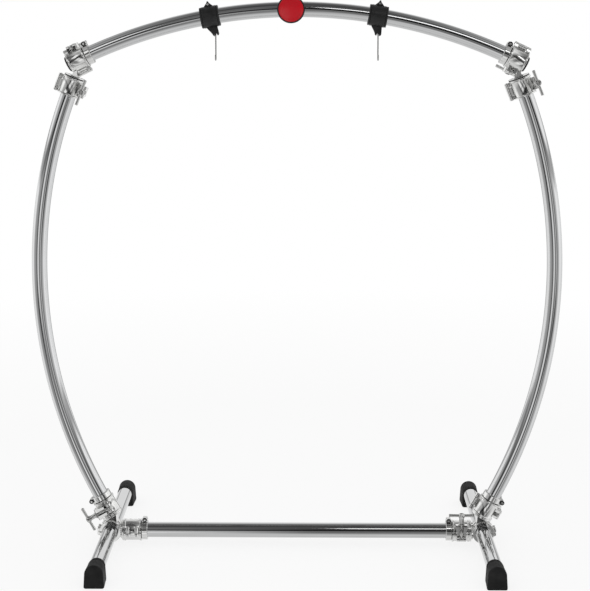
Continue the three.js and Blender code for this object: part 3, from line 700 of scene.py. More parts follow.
CHROME = Finish(
    "polished_chrome", colour=(0.71, 0.715, 0.72), metal=1.0, gloss=0.035, dull=0.08,
    patch_scale=9.0, grain_scale=900.0, grain_depth=0.0004,
    scuff=(0.62, 0.62, 0.61), scuff_share=0.35)
CAST_CHROME = Finish(
    "chromed_casting", colour=(0.86, 0.86, 0.85), metal=1.0, gloss=0.09, dull=0.2,
    patch_scale=45.0, grain_scale=420.0, grain_depth=0.012,
    scuff=(0.74, 0.74, 0.73), scuff_share=0.4)
BRIGHT_STEEL = Finish(
    "plated_fastener", colour=(0.70, 0.70, 0.69), metal=1.0, gloss=0.12, dull=0.26,
    patch_scale=70.0, grain_scale=1500.0, grain_depth=0.006,
    scuff=(0.55, 0.55, 0.54), scuff_share=0.4)
HOOK_WIRE = Finish(
    "plated_wire", colour=(0.34, 0.34, 0.33), metal=1.0, gloss=0.16, dull=0.3,
    patch_scale=60.0, grain_scale=1800.0, grain_depth=0.004,
    scuff=(0.24, 0.24, 0.24), scuff_share=0.3)
RUBBER = Finish(
    "moulded_rubber", colour=(0.009, 0.009, 0.0092), metal=0.0, gloss=0.5, dull=0.78,
    patch_scale=40.0, grain_scale=2400.0, grain_depth=0.03,
    scuff=(0.035, 0.035, 0.034), scuff_share=0.4, shine=0.22)
NYLON = Finish(
    "moulded_nylon", colour=(0.012, 0.0122, 0.0125), metal=0.0, gloss=0.3, dull=0.48,
    patch_scale=60.0, grain_scale=1900.0, grain_depth=0.012,
    scuff=(0.032, 0.032, 0.033), scuff_share=0.4, shine=0.35)
ENAMEL = Finish(
    "red_enamel", colour=(0.50, 0.006, 0.014), metal=0.0, gloss=0.16, dull=0.26,
    patch_scale=50.0, grain_scale=900.0, grain_depth=0.004,
    scuff=(0.40, 0.004, 0.01), scuff_share=0.5, coat=0.3, shine=0.3)


# Tubes


@dataclass
class Tubes:
    """The six chrome tubes."""

    layout: Layout
    sides: int = 72
    arc_steps: int = 160
    edge: float = 0.35

    def wall(self) -> tuple[float, float]:
        """The radius of a tube's bore and that of its outside."""
        return self.layout.tube_radius - self.layout.tube_wall, self.layout.tube_radius

    def bent(self, path: Array) -> Skin:
        """A tube wall along a bent path.

        The rows of the grid are rings: first the outer face from end to end, then the bore back
        again. A ring's point is path + radius (cos a side + sin a lift).

        Args:
            path: points of the tube's axis.

        Returns:
            The closed skin.
        """
        inner, outer = self.wall()
        tangent = np.gradient(path, axis=0)
        tangent /= np.linalg.norm(tangent, axis=1, keepdims=True)
        side = np.broadcast_to(REAR, path.shape)
        lift = np.cross(tangent, side)
        angle = np.linspace(0.0, TURN, self.sides, endpoint=False)
        ring = np.cos(angle)[None, :, None] * side[:, None, :]
        ring = ring + np.sin(angle)[None, :, None] * lift[:, None, :]
        outside = path[:, None, :] + outer * ring
        outside[0] += tangent[0] * self.edge
        outside[-1] -= tangent[-1] * self.edge
        bore = (path[:, None, :] + inner * ring)[::-1]
        rims = path[[0, -1], None, :] + (outer - self.edge) * ring[[0, -1]]
        rows = np.concatenate([rims[:1], outside, rims[1:], bore])
        return grid_skin(rows, wrap_rows=True)

    def post_path(self, side: int) -> Array:
        """The axis of a post, clamp end to clamp end.

        Args:
            side: 1 for the right post, -1 for the left.

        Returns:
            Its points, from the foot up.
        """
        size = self.layout
        reach = (size.clamp_length / 2 - size.tube_end_gap) / size.post_arc_radius
        low, high = size.post_angle(size.post_foot_height), size.post_angle(size.post_top_height)
        return size.post_arc(side, np.linspace(low - reach, high + reach, self.arc_steps))[0]

    def bar_path(self) -> Array:
        """The axis of the top bar, from left to right."""
        end = self.layout.bar_end_angle
        return self.layout.bar_arc(np.linspace(-end, end, self.arc_steps))[0]

    def straight(self, axes: Axes, length: float) -> Skin:
        """A straight tube: its wall's closed profile turned round the axis.

        Args:
            axes: its frame, with z along the tube and the origin at its middle.
            length: its length.

        Returns:
            The closed skin in the stand's frame.
        """
        inner, outer = self.wall()
        return turn_skin(turned(sleeve(inner, outer, -length / 2, length / 2, self.edge),
                                self.sides), axes)

    def build(self) -> None:
        """Make the posts, the top bar, the brace tube and the legs."""
        size = self.layout
        slot = "chrome_tube"
        Piece("top_bar_tube").add(self.bent(self.bar_path())).finish(
            "root", slot, CHROME, ["top_bar"])
        for side in Side:
            Piece(f"post_tube_{side.word}").add(self.bent(self.post_path(side.value))).finish(
                "root", slot, CHROME, [f"post_{side.word}"])
            leg = Axes(np.array([side.value * size.leg_half_spread, 0.0, size.leg_axis_height]),
                       RIGHT, UP)
            length = size.leg_length - 2 * (size.boot_end_wall + size.tube_end_gap)
            Piece(f"leg_tube_{side.word}").add(self.straight(leg, length)).finish(
                "root", slot, CHROME, [f"leg_{side.word}"])
        brace = Axes(np.array([0.0, -size.ring_set_forward, size.leg_axis_height]), REAR, UP)
        length = 2 * (size.brace_reach + size.clamp_length / 2 - size.tube_end_gap)
        Piece("brace_tube_chrome").add(self.straight(brace, length)).finish(
            "root", slot, CHROME, ["brace_tube"])


# Clamps


@dataclass
class Clamp:
    """A hinged clamp: a fixed half, a jaw, a swing bolt, a washer and a T-nut."""

    bore: float = 19.65
    shell: float = 26.25
    half: float = 22.0
    split: float = 0.75
    rim: float = 28.05
    rim_length: float = 3.6
    rim_soft: float = 0.6
    rim_slope: float = 1.6
    liner_bore: float = 19.12
    liner_back: float = 19.58
    liner_inset: float = 1.2
    liner_short: float = 1.4
    lip: float = 22.4
    lip_proud: float = 0.7
    lip_gap: float = 0.02
    plate: float = 5.0
    bearing_foot: float = 1.5
    bearing_top: float = 4.2
    knuckle_radius: float = 5.5
    knuckle_half: float = 10.7
    knuckle_gap: float = 0.5
    knuckle_inset: float = 0.4
    web_low: float = 8.2
    web_high: float = 9.5
    hinge_rivet: float = 0.7
    hinge: float = 34.75
    pin_radius: float = 2.6
    bolt: float = 32.55
    bolt_drop: float = 11.0
    bolt_radius: float = 4.0
    eye_radius: float = 6.0
    eye_half: float = 4.2
    slot_half: float = 4.8
    ear: float = 6.7
    ear_radius: float = 6.5
    ear_root: float = 6.5
    ear_fall: float = 1.4
    bolt_rivet: float = 0.9
    lug_depth: float = 6.5
    lug_top: float = 15.5
    lug_foot: float = 11.5
    lug_inner: tuple[float, float, float] = (23.3, 19.8, 25.4)
    seat_rise: float = 27.0
    washer_radius: float = 8.5
    washer: float = 2.0
    gap: float = 0.3
    clearance: float = 0.35
    pitch: float = 1.5
    thread_depth: float = 0.45
    thread_below: float = 9.0
    nut_hub: float = 6.75
    nut_hub_height: float = 17.0
    nut_head: float = 8.0
    nut_head_height: float = 9.0
    arm_radius: float = 4.0
    arm_half: float = 32.5
    arm_dome: float = 1.8
    arm_waist: float = 0.86
    bolt_inset: float = 3.0
    sides: int = 96

    @property
    def split_angle(self) -> float:
        """Half of the split, as an angle seen from the tube's axis."""
        return self.split / self.bore

    @property
    def nut_foot(self) -> float:
        """Height of the nut's foot above the clamp's middle."""
        return self.seat_rise + self.gap + self.washer + self.gap

    def wall_profile(self, half: float, step: float) -> Array:
        """A barrel's wall: a plain bore, and an outside that rises to a rim at each end.

        Args:
            half: half of the barrel's length.
            step: length of the steep part between rim and barrel.

        Returns:
            A closed loop of radius and z.
        """
        soft, foot = self.rim_soft, self.rim_length - half
        return mirrored(np.array([
            [self.bore, soft - half], [self.bore + soft, -half], [self.rim - soft, -half],
            [self.rim, soft - half], [self.rim, foot - soft], [self.rim - soft, foot],
            [self.shell + soft, foot + step], [self.shell, foot + self.rim_slope]]))

    def half_wall(self, side: int) -> Skin:
        """Half of the barrel.

        Args:
            side: the side of y that it is on.

        Returns:
            The closed skin.
        """
        start = self.split_angle + (0.0 if side > 0 else math.pi)
        return turned(self.wall_profile(self.half, self.rim_soft / 2), self.sides, start,
                      start + math.pi - 2 * self.split_angle)

    def liner(self, side: int, open_end: int = 0) -> Skin:
        """The thin black liner of one half, with a lip over each open end of the barrel.

        Args:
            side: the side of y.
            open_end: 0 for a lip at both ends, else the only end that has one.

        Returns:
            The closed skin.
        """
        loop = []
        for end in (-1, 1):
            seat, back = end * (self.half + self.lip_gap), self.liner_back
            if open_end == -end:
                far = end * (self.half - self.liner_inset)
                rows = [[self.liner_bore, far], [back, far]]
            else:
                far = end * (self.half + self.lip_proud)
                rows = [[self.liner_bore, far], [self.lip, far], [self.lip, seat], [back, seat]]
            loop += rows[::-end]
        angle = self.split_angle * self.liner_short
        start = angle + (0.0 if side > 0 else math.pi)
        return turned(np.array(loop), self.sides, start, start + math.pi - 2 * angle)

    def disc(self, end: int, near: float, far: float, proud: float, edge: float) -> Skin:
        """A round plate past one end of the barrel.

        Args:
            end: the end, 1 or -1.
            near: where it starts, measured from the barrel's end.
            far: where it stops.
            proud: how far its rim stands out past the barrel.
            edge: the rounding of its rim.

        Returns:
            The closed skin.
        """
        low, high = sorted((end * (self.half + near), end * (self.half + far)))
        return spun(rounded(self.shell + proud, low, high, edge), 72)

    def end_plates(self, end: int, swivels: bool) -> list[Skin]:
        """The plate that closes one end of the barrel, or two with the bearing's gap between.

        Args:
            end: the end, 1 or -1.
            swivels: it is split for a bearing disc.

        Returns:
            Closed skins.
        """
        if not swivels:
            return [self.disc(end, -0.1, self.plate, 0.9, 1.3)]
        return [self.disc(end, -0.1, self.bearing_foot, 0.9, 0.6),
                self.disc(end, self.bearing_top, self.plate, 0.6, 0.3)]

    def bearing(self, end: int) -> Skin:
        """The black bearing disc between the end's two plates."""
        return self.disc(end, self.bearing_foot - 0.2, self.bearing_top + 0.2, 0.2, 0.3)

    def bolt_ears(self) -> list[Skin]:
        """The two ears that hold the swing bolt's pin, and the pin with its riveted ends.

        Returns:
            Closed skins in the clamp's frame.
        """
        root, radius = self.shell - self.ear_root, self.ear_radius
        arc = circle(radius, 17, (self.bolt, -self.bolt_drop), -math.pi / 2, math.pi / 2)
        outline = np.vstack([[[root, -self.bolt_drop - radius - self.ear_fall]], arc,
                             [[root, -self.bolt_drop + radius]]])
        reach = self.slot_half + self.ear
        pin = spun(rounded(self.pin_radius, -reach - self.bolt_rivet, reach + self.bolt_rivet,
                           0.85), 24)
        return [prism(outline, self.slot_half, reach), prism(outline, -reach, -self.slot_half),
                shift_skin(pin, self.bolt, -self.bolt_drop)]

    def hinge_ears(self) -> list[Skin]:
        """The two outer knuckles, their webs, and the hinge pin with its riveted ends.

        Returns:
            Closed skins in the clamp's frame.
        """
        skins = []
        near, far = self.knuckle_half + self.knuckle_gap, self.half - self.knuckle_inset
        for low, high in ((near, far), (-far, -near)):
            knuckle = spun(rounded(self.knuckle_radius, low, high, 0.8), 36)
            skins.append(shift_skin(knuckle, -self.hinge))
            web = np.array([[-self.hinge, -self.knuckle_radius], [-self.hinge, -self.split],
                            [-self.shell + 4.0, -self.split],
                            [-self.shell + 5.0, -self.web_high],
                            [-self.shell - 1.0, -self.web_low]])
            skins.append(prism(web, low + 0.3, high - 0.3))
        reach = self.half + self.hinge_rivet
        pin = spun(rounded(self.pin_radius, -reach, reach, 0.8), 24)
        skins.append(shift_skin(pin, -self.hinge))
        return skins

    def fixed_half(self, plate_end: int = 0, hinged: bool = True,
                   swivels: bool = False) -> list[Skin]:
        """The half that is cast in one with a bracket.

        Args:
            plate_end: the end that a plate closes, or 0.
            hinged: it has a hinge and a swing bolt.
            swivels: its plate is split by a bearing disc.

        Returns:
            Closed skins in the clamp's frame.
        """
        skins = [self.half_wall(-1)]
        if plate_end:
            skins += self.end_plates(plate_end, swivels)
        if hinged:
            skins += self.hinge_ears() + self.bolt_ears()
        return skins

    def lug(self) -> Skin:
        """The jaw's flared lug, slotted for the swing bolt, with a seat curved about its pin.

        Each row of the grid is the lug's U-shaped outline at one share t of its height. Its half
        width grows smoothly from foot to top, its inner edge follows the barrel, and its height
        is t times the height of the seat there, which is an arc about the bolt's pin.

        Returns:
            The closed skin.
        """
        outer = self.bolt + self.lug_depth
        slot_end = self.bolt - self.bolt_radius - 2.0
        share = np.concatenate([np.linspace(0.0, 0.9, 10), [0.96, 1.0]])[:, None]
        inner = np.interp(share, [0.0, 0.5, 1.0], self.lug_inner)
        rise = 0.5 - 0.5 * np.cos(np.pi * np.clip((share - 0.3) / 0.45, 0.0, 1.0))
        width = self.lug_foot + (self.lug_top - self.lug_foot) * rise
        round_top = np.interp(share, [0.0, 0.9, 0.96, 1.0], [0.0, 0.0, 0.25, 0.9])
        steps = np.linspace(0.0, 1.0, 6)[None, :]
        width = width - round_top
        far = outer - round_top
        ones = np.ones_like(share * steps)
        x = np.hstack([inner + (far - inner) * steps, far + (slot_end - far) * steps,
                       slot_end + (far - slot_end) * steps, far + (inner - far) * steps])
        z = np.hstack([-width * ones, -self.slot_half * ones, self.slot_half * ones,
                       width * ones])
        seat = np.sqrt((self.seat_rise + self.bolt_drop) ** 2 - (x - self.bolt) ** 2)
        y = self.split + share * (seat - self.bolt_drop - self.split)
        return grid_skin(np.stack([x, y, z], axis=-1))

    def jaw(self) -> list[Skin]:
        """The hinged half: barrel, knuckle with its web, and lug.

        Returns:
            Closed skins in the clamp's frame.
        """
        reach = self.knuckle_half
        near = self.hinge - self.pin_radius - 0.8
        web = np.array([[-near, self.knuckle_radius], [-self.shell - 1.0, self.web_low],
                        [-self.shell + 5.0, self.web_high], [-self.shell + 4.0, self.split],
                        [-near, self.split]])
        knuckle = turned(sleeve(self.pin_radius + self.clearance, self.knuckle_radius, -reach,
                                reach, 0.7), 36)
        return [self.half_wall(1), self.lug(), shift_skin(knuckle, -self.hinge),
                prism(web, -reach + 0.4, reach - 0.4)]

    def thread(self, low: float, high: float) -> Skin:
        """A threaded rod along z.

        The radius is the bolt's less a share of the thread's depth that rises and falls once per
        pitch along z and once per turn round it, which makes one helix. It fades at both ends.

        Args:
            low: first z.
            high: last z.

        Returns:
            The closed skin.
        """
        rows = int((high - low) / self.pitch * 6)
        height = np.linspace(low, high, rows)[:, None]
        angle = np.linspace(0.0, TURN, 24, endpoint=False)[None, :]
        phase = (height / self.pitch - angle / TURN) % 1.0
        tooth = np.abs(2.0 * phase - 1.0)
        fade = np.clip(np.minimum(height - low, high - height) / self.pitch, 0.0, 1.0)
        radius = self.bolt_radius - self.thread_depth * (1.0 - tooth * fade)
        return grid_skin(round_z(radius, angle, height))

    def eyebolt(self) -> list[Skin]:
        """The swing bolt: a round eye on its pin, a plain shank and a threaded length.

        Returns:
            Closed skins in the clamp's frame.
        """
        top = self.nut_foot + self.nut_hub_height + self.nut_head_height - self.bolt_inset
        start = self.seat_rise - self.thread_below
        eye = turned(sleeve(self.pin_radius + self.clearance, self.eye_radius,
                            -self.eye_half, self.eye_half, 0.6), 40)
        shank = spun(chamfered(self.bolt_radius, -self.bolt_drop + 4.2, start, 0.2), 32)
        up = [turn_skin(shank, Z_TO_Y), turn_skin(self.thread(start - 0.1, top), Z_TO_Y)]
        return ([shift_skin(eye, self.bolt, -self.bolt_drop)]
                + [shift_skin(skin, self.bolt) for skin in up])

    def washer_ring(self) -> Skin:
        """A washer with softened rims.

        Returns:
            The closed skin in the clamp's frame.
        """
        foot = self.seat_rise + self.gap
        ring = turned(sleeve(self.bolt_radius + self.clearance, self.washer_radius, foot,
                             foot + self.washer, 0.35), 48)
        return shift_skin(turn_skin(ring, Z_TO_Y), self.bolt)

    def t_nut(self) -> list[Skin]:
        """The T-nut: a waisted hub under a round head, and a cross arm with rounded ends.

        The arm's radius grows with the square of the distance from its middle, and a quarter
        circle rounds each end.

        Returns:
            Closed skins in the clamp's frame.
        """
        foot, top = self.nut_foot, self.nut_foot + self.nut_hub_height
        high = top + self.nut_head_height
        bore = self.bolt_radius + self.clearance
        hub, head = self.nut_hub, self.nut_head
        loop = np.array([
            [bore, foot], [hub - 0.6, foot], [hub, foot + 0.6], [hub, foot + 2.6],
            [hub - 0.7, foot + 3.4], [hub - 0.7, top - 3.2], [hub, top - 1.6], [head - 0.5, top],
            [head, top + 0.9], [head, high - 1.6], [head - 0.7, high - 0.5], [head - 1.8, high],
            [bore + 0.6, high], [bore, high - 0.6]])
        skins = [turn_skin(turned(loop, 48), Z_TO_Y)]
        turn = np.linspace(0.0, 1.0, 8) * math.pi / 2
        plain = self.arm_half - self.arm_dome
        tip = np.column_stack([self.arm_radius - self.arm_dome * (1.0 - np.cos(turn)),
                               plain + self.arm_dome * np.sin(turn)])
        share = np.linspace(-1.0, 1.0, 25)
        waist = self.arm_waist + (1.0 - self.arm_waist) * share**2
        shank = np.column_stack([self.arm_radius * waist, plain * share])
        arm = spun(np.vstack([(tip * MIRROR)[::-1], shank[1:-1], tip]), 28)
        middle = top + self.nut_head_height / 2
        skins.append(shift_skin(arm, 0.0, middle, 0.0))
        return [shift_skin(skin, self.bolt) for skin in skins]

    def build_moving(self, name: str, axes: Axes) -> None:
        """Make the jaw, eyebolt, washer and T-nut of one clamp.

        Args:
            name: the clamp's name in the CAD nodes.
            axes: its frame.
        """
        Piece(f"clamp_jaw_{name}", axes).add(*self.jaw()).finish(
            f"jaw_{name}", "chrome_casting", CAST_CHROME, [f"jaw_{name}"], bevel=0.5)
        Piece(f"swing_bolt_{name}", axes).add(*self.eyebolt()).finish(
            f"bolt_{name}", "plated_steel", BRIGHT_STEEL, [f"eyebolt_{name}"], sharp=50.0)
        Piece(f"seat_washer_{name}", axes).add(self.washer_ring()).finish(
            f"washer_{name}", "plated_steel", BRIGHT_STEEL, [f"washer_{name}"])
        Piece(f"wing_t_nut_{name}", axes).add(*self.t_nut()).finish(
            f"nut_{name}", "plated_steel", BRIGHT_STEEL, [f"t_nut_{name}"])


# Castings that stay still


def waisted(near: Array, far: Array, waist: float, steps: int = 14) -> Array:
    """An outline of a web between two edges, its two sides drawn in to a waist.

    Each side is the straight line from a near corner to the far one, moved inwards by
    waist times sin(pi t), with t its share from near to far.

    Args:
        near: the two corners of the first edge.
        far: the two corners of the second edge, in the same order.
        waist: how far each side is drawn in at its middle.
        steps: points along each side.

    Returns:
        The outline, in order round it.
    """
    share = np.linspace(0.0, 1.0, steps)[:, None]
    width = near[1] - near[0]
    inwards = width / np.linalg.norm(width)
    draw = waist * np.sin(np.pi * share) * inwards
    first = near[0] + (far[0] - near[0]) * share + draw
    second = near[1] + (far[1] - near[1]) * share - draw
    return np.vstack([first, second[::-1]])


def ring_web(outline: Array, front: float, rear: float) -> Skin:
    """A web whose outline lies in the ring's plane (x, z), from y = front to y = rear.

    Args:
        outline: its points of x and z.
        front: y of its front face.
        rear: y of its rear face.

    Returns:
        The closed skin in the stand's frame.
    """
    skin = prism(np.column_stack([outline[:, 0], -outline[:, 1]]), -rear, -front)
    points = skin[0]
    return np.column_stack([points[:, 0], -points[:, 2], -points[:, 1]]), skin[1]


@dataclass
class Bracket:
    """A casting that holds two clamps: its clamp halves, its neck, and their liners."""

    layout: Layout
    clamp: Clamp
    neck_half_width: float = 13.0
    neck_half_depth: float = 15.0
    neck_seat: float = 3.3
    hinge_clear: float = 7.8
    waist: float = 2.2
    rear_waist: float = 0.6

    @staticmethod
    def edge(place: Array, way: Array, low: float, high: float) -> Array:
        """Two points of a line in the ring's plane.

        Args:
            place: where the line starts.
            way: the way that it runs.
            low: how far along it the first point is.
            high: how far the second.

        Returns:
            Their x and z, in rows of two.
        """
        return np.stack([place + way * low, place + way * high])[:, [0, 2]]

    def corner(self, side: Side) -> None:
        """Make one top corner: the bar's clamp above, the post's clamp below, a neck between.

        Args:
            side: left or right.
        """
        size, clamp = self.layout, self.clamp
        bar, post = size.bar_clamp(side.value), size.post_top(side.value)
        _, along = size.on_post(side.value, size.post_top_height)
        _, bar_along = size.on_bar(side.value * size.bar_clamp_reach)
        down = -across(bar_along) * np.sign(across(bar_along)[2])
        outward = bar_along * side.value
        cross = across(along) * side.value
        plate = post.origin + along * (clamp.half + clamp.plate / 2)
        near = self.edge(plate, cross, -self.neck_half_width, self.neck_half_width)
        reach = clamp.bore + self.neck_seat
        inner_end = clamp.knuckle_half + clamp.knuckle_gap
        far, far_clear = (
            self.edge(bar.origin + down * (reach + more), outward, inner_end, clamp.half)
            for more in (0.0, self.hinge_clear))
        middle = -size.ring_set_forward
        front = ring_web(waisted(near, far, self.waist), middle - self.neck_half_depth,
                         middle - clamp.split - 0.2)
        rear = ring_web(waisted(near, far_clear, self.rear_waist), middle - clamp.split - 1.0,
                        middle + self.neck_half_depth)
        piece = Piece(f"corner_casting_{side.word}")
        piece.add(*[turn_skin(skin, bar) for skin in clamp.fixed_half()])
        plate_end = post.end_towards(along)
        piece.add(*[turn_skin(skin, post) for skin in clamp.fixed_half(plate_end, swivels=True)])
        piece.add(front, rear)
        piece.finish("root", "chrome_casting", CAST_CHROME, [f"corner_{side.word}"], bevel=0.6)
        self.liners(f"corner_{side.word}", ((bar, 0), (post, -plate_end)))
        Piece(f"swivel_bearing_{side.word}", post).add(clamp.bearing(plate_end)).finish(
            "root", "black_plastic", NYLON)

    def liners(self, name: str, clamps: Sequence[tuple[Axes, int]]) -> None:
        """Make the fixed halves' black liners as one piece.

        Args:
            name: the casting's name.
            clamps: each clamp's frame, and the end that its liner's lip is on, 0 for both.
        """
        piece = Piece(f"liner_{name}")
        for axes, open_end in clamps:
            piece.add(turn_skin(self.clamp.liner(-1, open_end), axes))
        piece.finish("root", "black_plastic", NYLON)

    def jaw_liner(self, name: str, axes: Axes, open_end: int) -> None:
        """Make the black liner of a jaw, which moves with it."""
        Piece(f"liner_jaw_{name}", axes).add(self.clamp.liner(1, open_end)).finish(
            f"jaw_{name}", "black_plastic", NYLON)


@dataclass
class Hub(Bracket):
    """A foot bracket: the leg's collar, the post's clamp above it and the brace's clamp inside."""

    neck_rise: float = 14.0
    foot_waist: float = 1.2
    spindle_radius: float = 11.0
    spindle_length: float = 9.0
    spindle_reach: float = 8.0
    collar_half: float = 20.0
    collar_step: float = 0.4
    slit: float = 1.0
    lug_reach: float = 7.0
    lug_half_height: float = 8.0
    lug_half_length: float = 15.0
    bolt_spacing: float = 15.0
    bolt_radius: float = 3.6
    bolt_head: float = 3.0
    disc_radius: float = 22.0
    disc_length: float = 6.0
    disc_set_back: float = 25.0
    teeth: int = 28
    tooth_depth: float = 1.6
    cap_lug_reach: float = 9.0
    cap_lug_radius: float = 5.0
    cap_lug_spacing: float = 22.0
    cap_lug_height: float = 15.0
    cap_screw_radius: float = 3.0
    cap_screw_head: float = 2.4

    def collar_axes(self, side: Side) -> Axes:
        """The collar's frame, with x towards its slit and z along the leg."""
        return Axes(self.layout.leg_place(side.value), RIGHT * side.value, UP)

    def collar(self, side: Side) -> list[Skin]:
        """The slit collar round the leg, with its two lugs.

        Args:
            side: left or right.

        Returns:
            Closed skins in the stand's frame.
        """
        clamp = self.clamp
        start = self.slit / clamp.bore
        skins = [turned(clamp.wall_profile(self.collar_half, self.collar_step), clamp.sides,
                        start, TURN - start)]
        out = clamp.shell + self.lug_reach
        for low, high in ((self.slit, self.lug_half_height), (-self.lug_half_height, -self.slit)):
            skins.append(block((clamp.shell - 3.5, low, -self.lug_half_length),
                               (out, high, self.lug_half_length)))
        return [turn_skin(skin, self.collar_axes(side)) for skin in skins]

    def collar_bolts(self, side: Side) -> list[Skin]:
        """The collar's two pinch bolts: socket heads above, hexagon nuts below.

        Args:
            side: left or right.

        Returns:
            Closed skins in the stand's frame.
        """
        out = self.clamp.shell + self.lug_reach - self.bolt_radius
        high = self.lug_half_height + self.bolt_head
        bolt = (socket_screw(self.bolt_radius, self.lug_half_height - 0.5, high, 1.6),
                prism(circle(self.bolt_radius, 6), -high, 0.4 - self.lug_half_height))
        return [turn_skin(shift_skin(turn_skin(skin, Z_TO_Y), out, 0.0, at),
                          self.collar_axes(side))
                for at in (-self.bolt_spacing / 2, self.bolt_spacing / 2) for skin in bolt]

    def serrated(self, side: Side) -> Skin:
        """The toothed disc of the angle joint.

        Its radius falls and rises as a triangle wave of the angle, once per tooth, and its two
        faces are drawn in at the rim.

        Args:
            side: left or right.

        Returns:
            The closed skin in the stand's frame.
        """
        steps = self.teeth * 4
        angle = np.linspace(0.0, TURN, steps, endpoint=False)[None, :]
        wave = np.abs(2.0 * ((angle * self.teeth / TURN) % 1.0) - 1.0)
        rim = self.disc_radius - self.tooth_depth * wave
        length = self.disc_length
        rows = [(0.72, 0.0), (0.93, 0.0), (1.0, 0.9), (1.0, length - 0.9), (0.93, length),
                (0.72, length)]
        share, height = (np.array(column)[:, None] for column in zip(*rows))
        radius = np.where(share > 0.9, rim * share, self.disc_radius * share)
        points = round_z(radius, angle, height)
        place = self.layout.leg_place(side.value) - RIGHT * side.value * self.disc_set_back
        return turn_skin(grid_skin(points), Axes(place, REAR * side.value, -UP))

    def cap_screws(self) -> list[tuple[float, float]]:
        """The places of the brace cap's four screws.

        Returns:
            Local x and z of each.
        """
        out = self.clamp.shell + self.cap_lug_reach - self.cap_lug_radius
        return [(face * out, end * self.cap_lug_spacing / 2)
                for face in (-1, 1) for end in (-1, 1)]

    def cap_lugs(self, low: float, high: float) -> list[Skin]:
        """The round lugs, front and rear, that the brace cap's screws pass through.

        Args:
            low: the lugs' foot.
            high: their top.

        Returns:
            Closed skins in the clamp's frame.
        """
        lug = turn_skin(spun(rounded(self.cap_lug_radius, low, high, 0.8), 32), Z_TO_Y)
        width = self.cap_lug_radius - 0.4
        skins = []
        for out, at in self.cap_screws():
            skins.append(shift_skin(lug, out, 0.0, at))
            near, far = sorted((out, math.copysign(self.clamp.shell - 3.0, out)))
            skins.append(block((near, low + 0.3, at - width), (far, high - 0.3, at + width)))
        return skins

    def brace_cap(self) -> None:
        """Make the cap that closes the left brace clamp, its four screws and its liner."""
        clamp, axes = self.clamp, self.layout.brace_clamp(-1)
        cap = Piece("brace_cap_casting", axes)
        cap.add(clamp.half_wall(1), *self.cap_lugs(clamp.split, self.cap_lug_height))
        cap.finish("root", "chrome_casting", CAST_CHROME, ["brace_cap_left"], bevel=0.5)
        screw = turn_skin(socket_screw(self.cap_screw_radius, self.cap_lug_height - 0.4,
                                       self.cap_lug_height + self.cap_screw_head, 1.4), Z_TO_Y)
        Piece("brace_cap_screws", axes).add(
            *[shift_skin(screw, out, 0.0, at) for out, at in self.cap_screws()]).finish(
            "root", "plated_steel", BRIGHT_STEEL)
        Piece("liner_brace_cap", axes).add(
            clamp.liner(1, -axes.end_towards(-RIGHT))).finish(
            "root", "black_plastic", NYLON)

    def build(self, side: Side) -> None:
        """Make one hub casting, its bolts and its liners.

        Args:
            side: left or right.
        """
        size, clamp = self.layout, self.clamp
        post, brace = size.post_foot(side.value), size.brace_clamp(side.value)
        _, along = size.on_post(side.value, size.post_foot_height)
        leg = size.leg_place(side.value)
        cross = across(along)
        plate = post.origin - along * (clamp.half + clamp.plate / 2)
        near = self.edge(plate, cross, -self.neck_half_width, self.neck_half_width)
        wide = clamp.bore - 1.0
        far = self.edge(leg + UP * self.neck_rise, RIGHT, -wide, wide)
        neck = ring_web(waisted(near, far, self.foot_waist), leg[1] - self.neck_half_depth,
                        leg[1] + self.neck_half_depth)
        outwards = RIGHT * side.value
        end = brace.end_towards(outwards)
        down_end = post.end_towards(-along)
        hinged = side is Side.RIGHT
        piece = Piece(f"hub_casting_{side.word}")
        piece.add(*self.collar(side), self.serrated(side), neck)
        piece.add(*[turn_skin(skin, post) for skin in clamp.fixed_half(down_end)])
        piece.add(*[turn_skin(skin, brace) for skin in clamp.fixed_half(end, hinged)])
        if not hinged:
            lugs = self.cap_lugs(-self.cap_lug_height / 2, -clamp.split)
            piece.add(*[turn_skin(skin, brace) for skin in lugs])
        spindle = spun(rounded(self.spindle_radius, 0.0, self.spindle_length, 0.8), 48)
        start = leg - outwards * (clamp.bore + self.spindle_reach)
        piece.add(turn_skin(spindle, Axes(start, REAR, UP * side.value)))
        piece.finish("root", "chrome_casting", CAST_CHROME, [f"hub_{side.word}"], bevel=0.6)
        Piece(f"collar_bolts_{side.word}").add(*self.collar_bolts(side)).finish(
            "root", "plated_steel", BRIGHT_STEEL, bevel=0.25)
        self.liners(f"hub_{side.word}", ((post, -down_end), (brace, -end)))


def key_screw(reach: float, low: float, high: float) -> Skin:
    """A square screw head along z for a square key, with a softened top.

    Each row of the grid is a square whose corners are rounded: at every angle its radius is the
    smaller of the flat's, reach over the cosine of the angle from it, and the corner's circle.

    Args:
        reach: half of its width over flats.
        low: the head's foot.
        high: the head's top.

    Returns:
        The closed skin.
    """
    sides = 48
    angle = np.linspace(0.0, TURN, sides, endpoint=False)
    sector = (angle + TURN / 8) % (TURN / 4) - TURN / 8
    square = np.minimum(reach / np.cos(sector), reach * 1.3)
    radius = np.stack([square, square, square - 0.4])
    return grid_skin(round_z(radius, angle, np.array([[low], [high - 0.5], [high]])))


